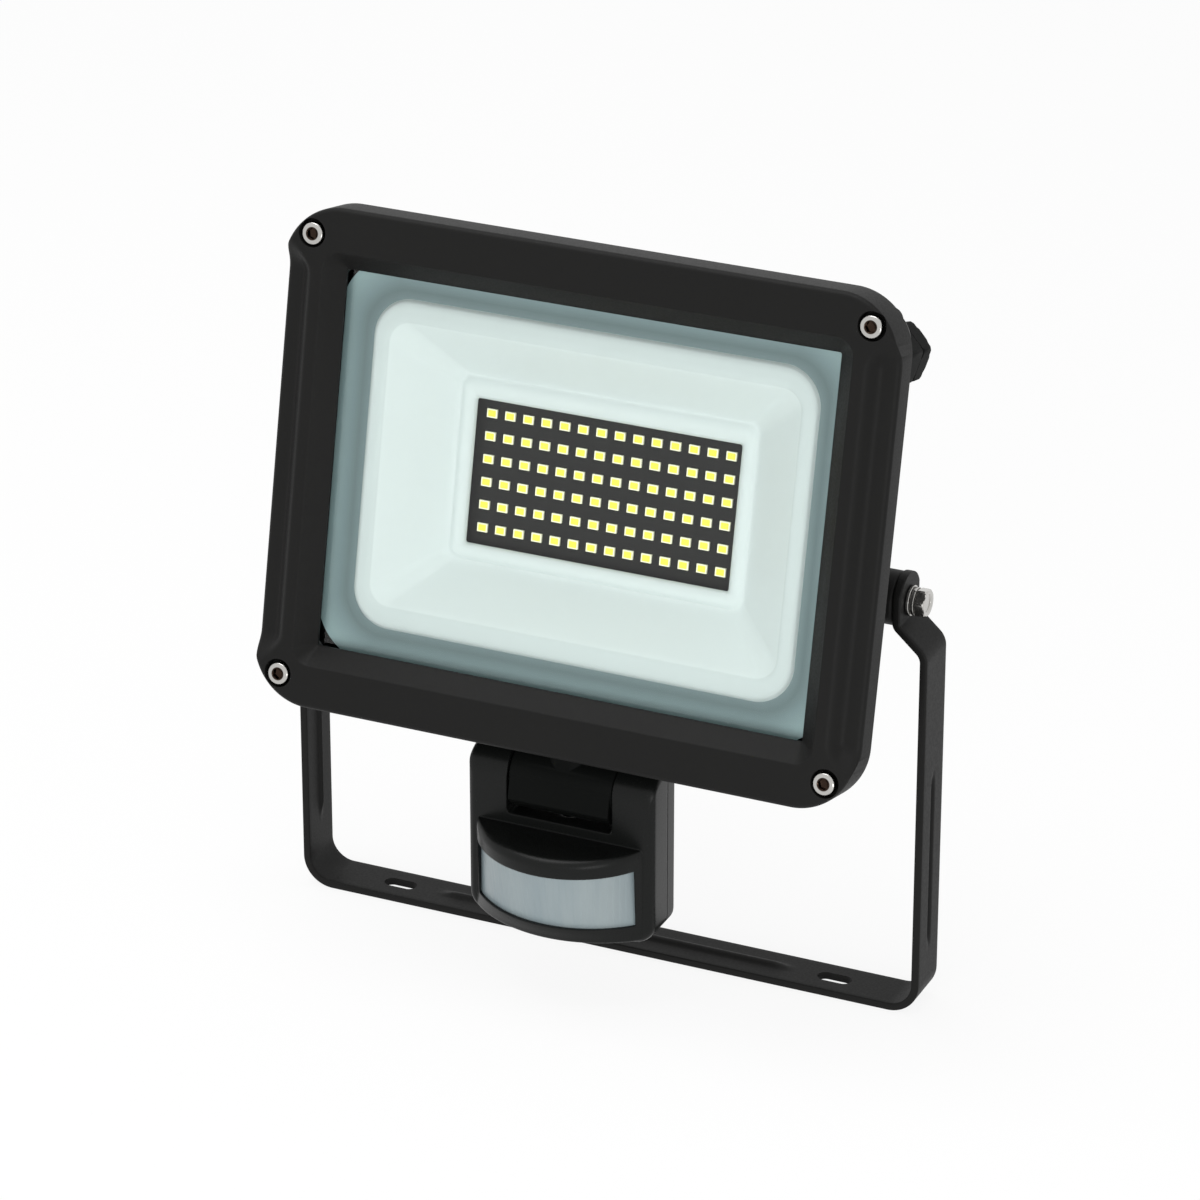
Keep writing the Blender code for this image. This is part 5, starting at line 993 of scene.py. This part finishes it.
def moulded_black(name, soften=0.0006, roughness=0.30, specular=0.2):
    """Smooth moulded plastic: low gloss with a faint texture."""
    material, tree, shader = finish(name, (0.0035, 0.0039, 0.0037), roughness, specular=specular)
    drift = noise(tree, 25.0, 2.0)
    colour = blend_colour(tree, drift.outputs["Fac"], (0.0030, 0.0034, 0.0032),
                          (0.0044, 0.0048, 0.0045))
    tree.links.new(colour, shader.inputs["Base Color"])
    skin = noise(tree, 3500.0, 2.0)
    tree.links.new(spread(tree, skin.outputs["Fac"], 0.3, 0.7, roughness - 0.04,
                          roughness + 0.04), shader.inputs["Roughness"])
    grain(tree, shader, skin.outputs["Fac"], 0.06, 0.00005, soften)
    return material


def steel(name):
    """Stainless steel with a slightly uneven gloss, and painted shade, a dark brown, where the
    socket value is 1.
    """
    material, tree, shader = finish(name, (0.50, 0.49, 0.47), 0.2, metallic=1.0)
    socket = node(tree, "ShaderNodeAttribute", attribute_name="socket")
    # Painted shade: a dark brown down in the screw sockets.
    colour = blend_colour(tree, socket.outputs["Fac"], (0.50, 0.49, 0.47), (0.035, 0.022, 0.016))
    tree.links.new(colour, shader.inputs["Base Color"])
    marks = noise(tree, 2600.0, 2.0)
    tree.links.new(spread(tree, marks.outputs["Fac"], 0.3, 0.7, 0.14, 0.26),
                   shader.inputs["Roughness"])
    grain(tree, shader, marks.outputs["Fac"], 0.05, 0.00003, 0.00015)
    return material


def reflector_white():
    """Pale satin reflector with painted shade: the rolled rim a little darker than the walls, and
    the brim a darker grey-teal, darkest just outside the rim and lighter outwards.
    """
    material, tree, shader = finish("reflector_white", (0.54, 0.59, 0.58), 0.4, specular=0.3)
    brim_shade = node(tree, "ShaderNodeAttribute", attribute_name="brim_shade")
    # Painted shade: the ramp darkens the rolled rim and shades the brim, darkest just outside the
    # rim.
    ramp = node(tree, "ShaderNodeValToRGB")
    stops = ramp.color_ramp.elements
    stops[0].position, stops[0].color = 0.0, (0.545, 0.59, 0.585, 1)
    stops[1].position, stops[1].color = 1.0, (0.28, 0.38, 0.39, 1)
    for position, colour in ((0.04, (0.47, 0.515, 0.51, 1)), (0.09, (0.14, 0.19, 0.195, 1)),
                             (0.3, (0.10, 0.14, 0.145, 1))):
        stop = stops.new(position)
        stop.color = colour
    tree.links.new(brim_shade.outputs["Fac"], ramp.inputs["Fac"])
    tree.links.new(ramp.outputs["Color"], shader.inputs["Base Color"])
    haze = noise(tree, 300.0, 3.0)
    grain(tree, shader, haze.outputs["Fac"], 0.03, 0.0001)
    return material


def board_mask():
    """Black solder mask with faint upright traces between the LED columns."""
    material, tree, shader = finish("board_mask", (0.006, 0.006, 0.0056), 0.42, specular=0.15)
    place = node(tree, "ShaderNodeTexCoord")
    split = node(tree, "ShaderNodeSeparateXYZ")
    tree.links.new(place.outputs["Object"], split.inputs["Vector"])
    pitch = node(tree, "ShaderNodeMath", operation="DIVIDE")
    pitch.inputs[1].default_value = LED_PITCH_X * MM
    tree.links.new(split.outputs["X"], pitch.inputs[0])
    wrap = node(tree, "ShaderNodeMath", operation="FRACT")
    tree.links.new(pitch.outputs["Value"], wrap.inputs[0])
    line = node(tree, "ShaderNodeMath", operation="COMPARE")
    line.inputs[1].default_value = 0.72
    line.inputs[2].default_value = 0.02
    tree.links.new(wrap.outputs["Value"], line.inputs[0])
    colour = blend_colour(tree, line.outputs["Value"], (0.006, 0.0059, 0.0055),
                          (0.012, 0.012, 0.0115))
    tree.links.new(colour, shader.inputs["Base Color"])
    weave = noise(tree, 1800.0, 2.0)
    grain(tree, shader, weave.outputs["Fac"], 0.08, 0.00004)
    return material


def phosphor():
    """Pale LED housing round yellow phosphor, told apart by the glow value."""
    material, tree, shader = finish("phosphor", (0.8, 0.7, 0.2), 0.35)
    glow = node(tree, "ShaderNodeAttribute", attribute_name="glow")
    speck = noise(tree, 4000.0, 1.0)
    tint = blend_colour(tree, speck.outputs["Fac"], (0.78, 0.68, 0.04), (0.86, 0.77, 0.09))
    mix = node(tree, "ShaderNodeMix", data_type="RGBA")
    colours = [socket for socket in mix.inputs if socket.type == "RGBA"]
    colours[0].default_value = (0.86, 0.84, 0.62, 1)
    tree.links.new(glow.outputs["Fac"], mix.inputs[0])
    tree.links.new(tint, colours[1])
    result = [socket for socket in mix.outputs if socket.type == "RGBA"][0]
    tree.links.new(result, shader.inputs["Base Color"])
    return material


def clear_glass():
    """Thin clear pane: lets light straight through and mirrors by Fresnel.

    Only faces met from outside mirror, because light isn't bent inside the pane, and its
    inner faces would otherwise mirror all of it at a slant.
    """
    material, tree, shader = finish("clear_glass", (1, 1, 1), 0.03)
    clear = node(tree, "ShaderNodeBsdfTransparent")
    clear.inputs["Color"].default_value = (0.975, 0.99, 0.985, 1)
    fresnel = node(tree, "ShaderNodeFresnel", IOR=1.45)
    inner = node(tree, "ShaderNodeNewGeometry")
    outer = node(tree, "ShaderNodeMath", operation="SUBTRACT")
    outer.inputs[0].default_value = 1.0
    tree.links.new(inner.outputs["Backfacing"], outer.inputs[1])
    mirror = node(tree, "ShaderNodeMath", operation="MULTIPLY")
    tree.links.new(fresnel.outputs["Fac"], mirror.inputs[0])
    tree.links.new(outer.outputs["Value"], mirror.inputs[1])
    mix = node(tree, "ShaderNodeMixShader")
    output = tree.nodes["Material Output"]
    shader.inputs["Metallic"].default_value = 1.0
    tree.links.new(mirror.outputs["Value"], mix.inputs["Fac"])
    tree.links.new(clear.outputs["BSDF"], mix.inputs[1])
    tree.links.new(shader.outputs["BSDF"], mix.inputs[2])
    tree.links.new(mix.outputs["Shader"], output.inputs["Surface"])
    return material


def milky():
    """Milky polythene: soft upright streaks where the lens strips differ in thickness."""
    material, tree, shader = finish("milky", (0.40, 0.47, 0.50), 0.32)
    place = node(tree, "ShaderNodeTexCoord")
    squeeze = node(tree, "ShaderNodeMapping")
    squeeze.inputs["Scale"].default_value = (1.0, 1.0, 0.12)
    tree.links.new(place.outputs["Object"], squeeze.inputs["Vector"])
    streak = node(tree, "ShaderNodeTexNoise", Scale=110.0, Detail=2.0)
    tree.links.new(squeeze.outputs["Vector"], streak.inputs["Vector"])
    colour = blend_colour(tree, spread(tree, streak.outputs["Fac"], 0.3, 0.7, 0, 1),
                          (0.165, 0.205, 0.22), (0.205, 0.242, 0.25))
    tree.links.new(colour, shader.inputs["Base Color"])
    return material


def plain(name, colour, roughness, metallic=0.0):
    """Inner pieces: one colour with a fine surface."""
    material, tree, shader = finish(name, colour, roughness, metallic)
    skin = noise(tree, 1200.0, 2.0)
    tree.links.new(spread(tree, skin.outputs["Fac"], 0.3, 0.7, roughness - 0.05,
                          roughness + 0.05), shader.inputs["Roughness"])
    grain(tree, shader, skin.outputs["Fac"], 0.08, 0.00005, 0.0002)
    return material


def dress(piece, material):
    """Gives a piece one material in place of what it had."""
    piece.data.materials.clear()
    piece.data.materials.append(material)


# The pieces

frame_paint = powder_coat("frame_paint", 0.0)
housing_paint = powder_coat("housing_paint", 0.0006)
strip_paint = powder_coat("strip_paint", 0.0)
shell_black = moulded_black("shell_black", 0.0007, 0.3, 0.17)
neck_black = moulded_black("neck_black", 0.0005, 0.42, 0.03)
gland_black = moulded_black("gland_black", 0.0, 0.6, 0.05)
bright_steel = steel("bright_steel")
mask = board_mask()
rubber = plain("rubber", (0.012, 0.012, 0.012), 0.7)
green_board = plain("green_board", (0.02, 0.12, 0.05), 0.45)
nylon = plain("nylon", (0.72, 0.72, 0.70), 0.5)
relay_blue = plain("relay_blue", (0.03, 0.09, 0.3), 0.4)

dress(front_frame(), frame_paint)
for number, (sx, sz) in enumerate(((-1, 1), (1, 1), (-1, -1), (1, -1)), 1):
    dress(cap_screw(number, sx * SCREW_X, sz * SCREW_Z), bright_steel)
dress(reflector(), reflector_white())
dress(led_plate(), mask)
dress(led_packages(), phosphor())
dress(bracket(), strip_paint)
for side, name in ((-1, "left"), (1, "right")):
    for piece in pivot_hardware(side, name):
        dress(piece, bright_steel)
for piece, material in zip(cable_gland(), (gland_black, gland_black, rubber)):
    dress(piece, material)
dress(sensor_front(), shell_black)
dress(sensor_back(), shell_black)
dress(lens(), milky())
dress(neck(), neck_black)

nodes = frame["nodes"]
dress(nodes["glass_pane"], clear_glass())
dress(rear_housing(), housing_paint)
for name in ("glass_gasket", "housing_seal", "neck_seal", "gland_ring"):
    dress(nodes[name], rubber)
for name in ("driver_board", "sensor_board"):
    dress(nodes[name], green_board)
for name in ["board_screw_%d" % n for n in (1, 2, 3, 4)] + ["driver_screw_1", "driver_screw_2"]:
    dress(nodes[name], bright_steel)
for number, (x, z) in enumerate(COVER_SCREWS, 1):
    dress(cover_screw(number, x, z), bright_steel)
for name, x in (("sensitivity_dial", -13.0), ("time_dial", 0.0), ("light_level_dial", 13.0)):
    dress(dial(name, x), neck_black)
dress(nodes["pir_detector"], bright_steel)
dress(nodes["neck_nut"], neck_black)
dress(nodes["terminal_block"], nylon)
dress(nodes["relay"], relay_blue)


# Stage, light and camera

def backdrop_rays(tree):
    """1 for rays of the camera, mirrors and glass, which see the backdrop white, and else 0."""
    path = node(tree, "ShaderNodeLightPath")
    found = path.outputs["Is Camera Ray"]
    for name in ("Is Glossy Ray", "Is Transmission Ray"):
        either = node(tree, "ShaderNodeMath", operation="MAXIMUM")
        tree.links.new(found, either.inputs[0])
        tree.links.new(path.outputs[name], either.inputs[1])
        found = either.outputs["Value"]
    return found


def world_light():
    """White for what the camera, mirrors and glass see; a softer level lights the object."""
    scene_world = bpy.data.worlds.new("studio")
    bpy.context.scene.world = scene_world
    scene_world.use_nodes = True
    tree = scene_world.node_tree
    tree.nodes.clear()
    soft = node(tree, "ShaderNodeBackground", Strength=0.55)
    soft.inputs["Color"].default_value = (1, 1, 1, 1)
    white = node(tree, "ShaderNodeBackground", Strength=1.0)
    white.inputs["Color"].default_value = (1, 1, 1, 1)
    mix = node(tree, "ShaderNodeMixShader")
    tree.links.new(backdrop_rays(tree), mix.inputs["Fac"])
    tree.links.new(soft.outputs["Background"], mix.inputs[1])
    tree.links.new(white.outputs["Background"], mix.inputs[2])
    output = node(tree, "ShaderNodeOutputWorld")
    tree.links.new(mix.outputs["Shader"], output.inputs["Surface"])


def floor():
    """Plain pale floor that keeps a faint shadow and otherwise reads as white."""
    size = 6000.0
    xs, ys = np.meshgrid([-size, size], [-size, size])
    ground = surface("floor", [np.stack([xs, ys, 0 * xs - 0.05], -1)], GROUND, around=False)
    material, tree, shader = finish("floor_white", (0.9, 0.9, 0.9), 0.9, specular=0.0)
    share = node(tree, "ShaderNodeMath", operation="MULTIPLY")
    share.inputs[1].default_value = 0.88
    tree.links.new(backdrop_rays(tree), share.inputs[0])
    white = node(tree, "ShaderNodeEmission", Strength=1.0)
    white.inputs["Color"].default_value = (1, 1, 1, 1)
    mix = node(tree, "ShaderNodeMixShader")
    tree.links.new(share.outputs["Value"], mix.inputs["Fac"])
    tree.links.new(shader.outputs["BSDF"], mix.inputs[1])
    tree.links.new(white.outputs["Emission"], mix.inputs[2])
    tree.links.new(mix.outputs["Shader"], tree.nodes["Material Output"].inputs["Surface"])
    dress(ground, material)


def aimed(location, target):
    """World matrix of a lamp at a place, pointing at another, both in millimetres."""
    place, aim = np.array(location, float), np.array(target, float)
    back = (place - aim) / np.linalg.norm(place - aim)
    side = np.cross([0, 0, 1.0], back)
    side = side / np.linalg.norm(side)
    up = np.cross(back, side)
    matrix = Matrix.Identity(4)
    for row in range(3):
        matrix[row][0], matrix[row][1], matrix[row][2] = side[row], up[row], back[row]
        matrix[row][3] = place[row] * MM
    return matrix


def soft_box(name, location, size, power):
    """A rectangular lamp that points at the object's middle."""
    lamp = bpy.data.lights.new(name, "AREA")
    lamp.shape = "RECTANGLE"
    lamp.size, lamp.size_y = size[0] * MM, size[1] * MM
    lamp.energy = power
    holder = bpy.data.objects.new(name, lamp)
    bpy.context.scene.collection.objects.link(holder)
    holder.matrix_world = aimed(location, (0, 0, 120))
    return holder


def photograph():
    """Camera fitted to the photograph: azimuth, elevation, offsets and distance from the pivot."""
    azimuth, elevation = math.radians(24.51), math.radians(24.94)
    back = np.array([math.sin(azimuth) * math.cos(elevation),
                     -math.cos(azimuth) * math.cos(elevation), math.sin(elevation)])
    right = np.array([math.cos(azimuth), math.sin(azimuth), 0.0])
    up = np.cross(back, right)
    place = right * -4.5 + up * -17.22 + back * 1646.4 + np.array([0, 0, PIVOT_HEIGHT])
    camera = bpy.data.cameras.new("camera")
    camera.sensor_width = 36.0
    camera.lens = 159.05
    camera.clip_end = 100.0
    holder = bpy.data.objects.new("camera", camera)
    bpy.context.scene.collection.objects.link(holder)
    matrix = Matrix.Identity(4)
    for row in range(3):
        matrix[row][0], matrix[row][1], matrix[row][2] = right[row], up[row], back[row]
        matrix[row][3] = place[row] * MM
    holder.matrix_world = matrix
    bpy.context.scene.camera = holder


world_light()
floor()
soft_box("top_light", (-300, -200, 1900), (1400, 1400), 18.0)
key_light = soft_box("key_light", (300, -1700, 420), (1000, 700), 21.0)
key_light.visible_glossy = False
soft_box("low_light", (700, -800, 120), (500, 200), 1.6)
photograph()
bpy.context.scene.view_settings.view_transform = "Standard"
